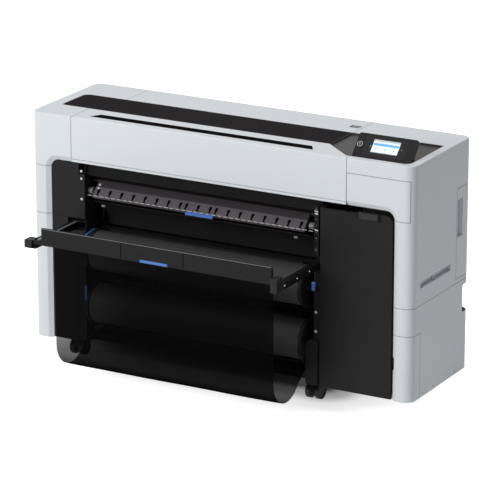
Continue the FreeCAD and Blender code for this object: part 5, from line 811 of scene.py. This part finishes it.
# Painted shadow: around a box under the lower roll and the base, the floor's glow rises from 0.02 to 1.0 with
# distance.
roll_low, roll_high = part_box("lower_roll_cover")
foot_low, foot_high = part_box("base_frame")
painted_shadow_low = Vector((roll_low.x, foot_low.y + 0.22, 0.0))
painted_shadow_high = Vector((roll_high.x, foot_high.y, 0.0))
floor_side = maths(floor_tree, "SUBTRACT", floor_place.outputs["Object"], (painted_shadow_low + painted_shadow_high) / 2.0)
floor_half = maths(floor_tree, "ABSOLUTE", floor_side)
floor_out = maths(floor_tree, "SUBTRACT", floor_half, (painted_shadow_high - painted_shadow_low) / 2.0)
floor_past = maths(floor_tree, "MAXIMUM", floor_out, Vector((0.0, 0.0, 0.0)))
floor_far = floor_tree.nodes.new("ShaderNodeVectorMath")
floor_far.operation = "LENGTH"
floor_tree.links.new(floor_past, floor_far.inputs[0])
painted_shadow_ramp = floor_tree.nodes.new("ShaderNodeValToRGB")
painted_shadow_ramp.color_ramp.interpolation = "EASE"
for place, glow in ((0.0, 0.02), (0.08, 0.3), (0.2, 0.72), (0.42, 0.9), (0.9, 1.0)):
    stop = painted_shadow_ramp.color_ramp.elements.new(place)
    stop.color = (glow, glow, glow, 1.0)
painted_shadow_ramp.color_ramp.elements.remove(painted_shadow_ramp.color_ramp.elements[-1])
painted_shadow_ramp.color_ramp.elements.remove(painted_shadow_ramp.color_ramp.elements[0])
floor_tree.links.new(floor_far.outputs["Value"], painted_shadow_ramp.inputs["Fac"])
floor_glow = floor_tree.nodes.new("ShaderNodeMath")
floor_glow.operation = "MULTIPLY"
floor_tree.links.new(seen_by_eye(floor_tree), floor_glow.inputs[0])
floor_tree.links.new(painted_shadow_ramp.outputs["Color"], floor_glow.inputs[1])
floor_tree.links.new(floor_glow.outputs[0], floor_shader.inputs["Emission Strength"])
floor_shader.inputs["Emission Color"].default_value = (1.0, 1.0, 1.0, 1.0)


def lamp(name, where, aim, size, power, shape=1.0):
    """Large soft area lamp aimed at a point."""
    data = bpy.data.lights.new(name, "AREA")
    data.shape = "RECTANGLE"
    data.size = size
    data.size_y = size * shape
    data.energy = power
    item = bpy.data.objects.new(name, data)
    bpy.context.scene.collection.objects.link(item)
    item.location = where
    item.rotation_euler = (Vector(aim) - Vector(where)).to_track_quat("-Z", "Y").to_euler()
    return item


lamp("key", (-2.6, -7.6, 4.0), (0.0, 0.0, 0.7), 4.0, 440.0)
lamp("top", (0.0, 0.5, 6.0), (0.0, 0.0, 0.6), 5.0, 140.0)
lamp("fill", (6.0, -3.0, 2.6), (0.4, 0.0, 0.6), 3.0, 1.0)

world = bpy.data.worlds.new("studio")
bpy.context.scene.world = world
world.use_nodes = True
world_tree = world.node_tree
background = world_tree.nodes["Background"]
background.inputs["Color"].default_value = (0.75, 0.77, 0.8, 1.0)
background.inputs["Strength"].default_value = 0.24
seen = world_tree.nodes.new("ShaderNodeBackground")
seen.inputs["Color"].default_value = (1.0, 1.0, 1.0, 1.0)
seen.inputs["Strength"].default_value = 1.0
choose = world_tree.nodes.new("ShaderNodeMixShader")
world_tree.links.new(seen_by_eye(world_tree), choose.inputs["Fac"])
world_tree.links.new(background.outputs["Background"], choose.inputs[1])
world_tree.links.new(seen.outputs["Background"], choose.inputs[2])
world_tree.links.new(choose.outputs["Shader"], world_tree.nodes["World Output"].inputs["Surface"])
bpy.context.scene.view_settings.view_transform = "Standard"
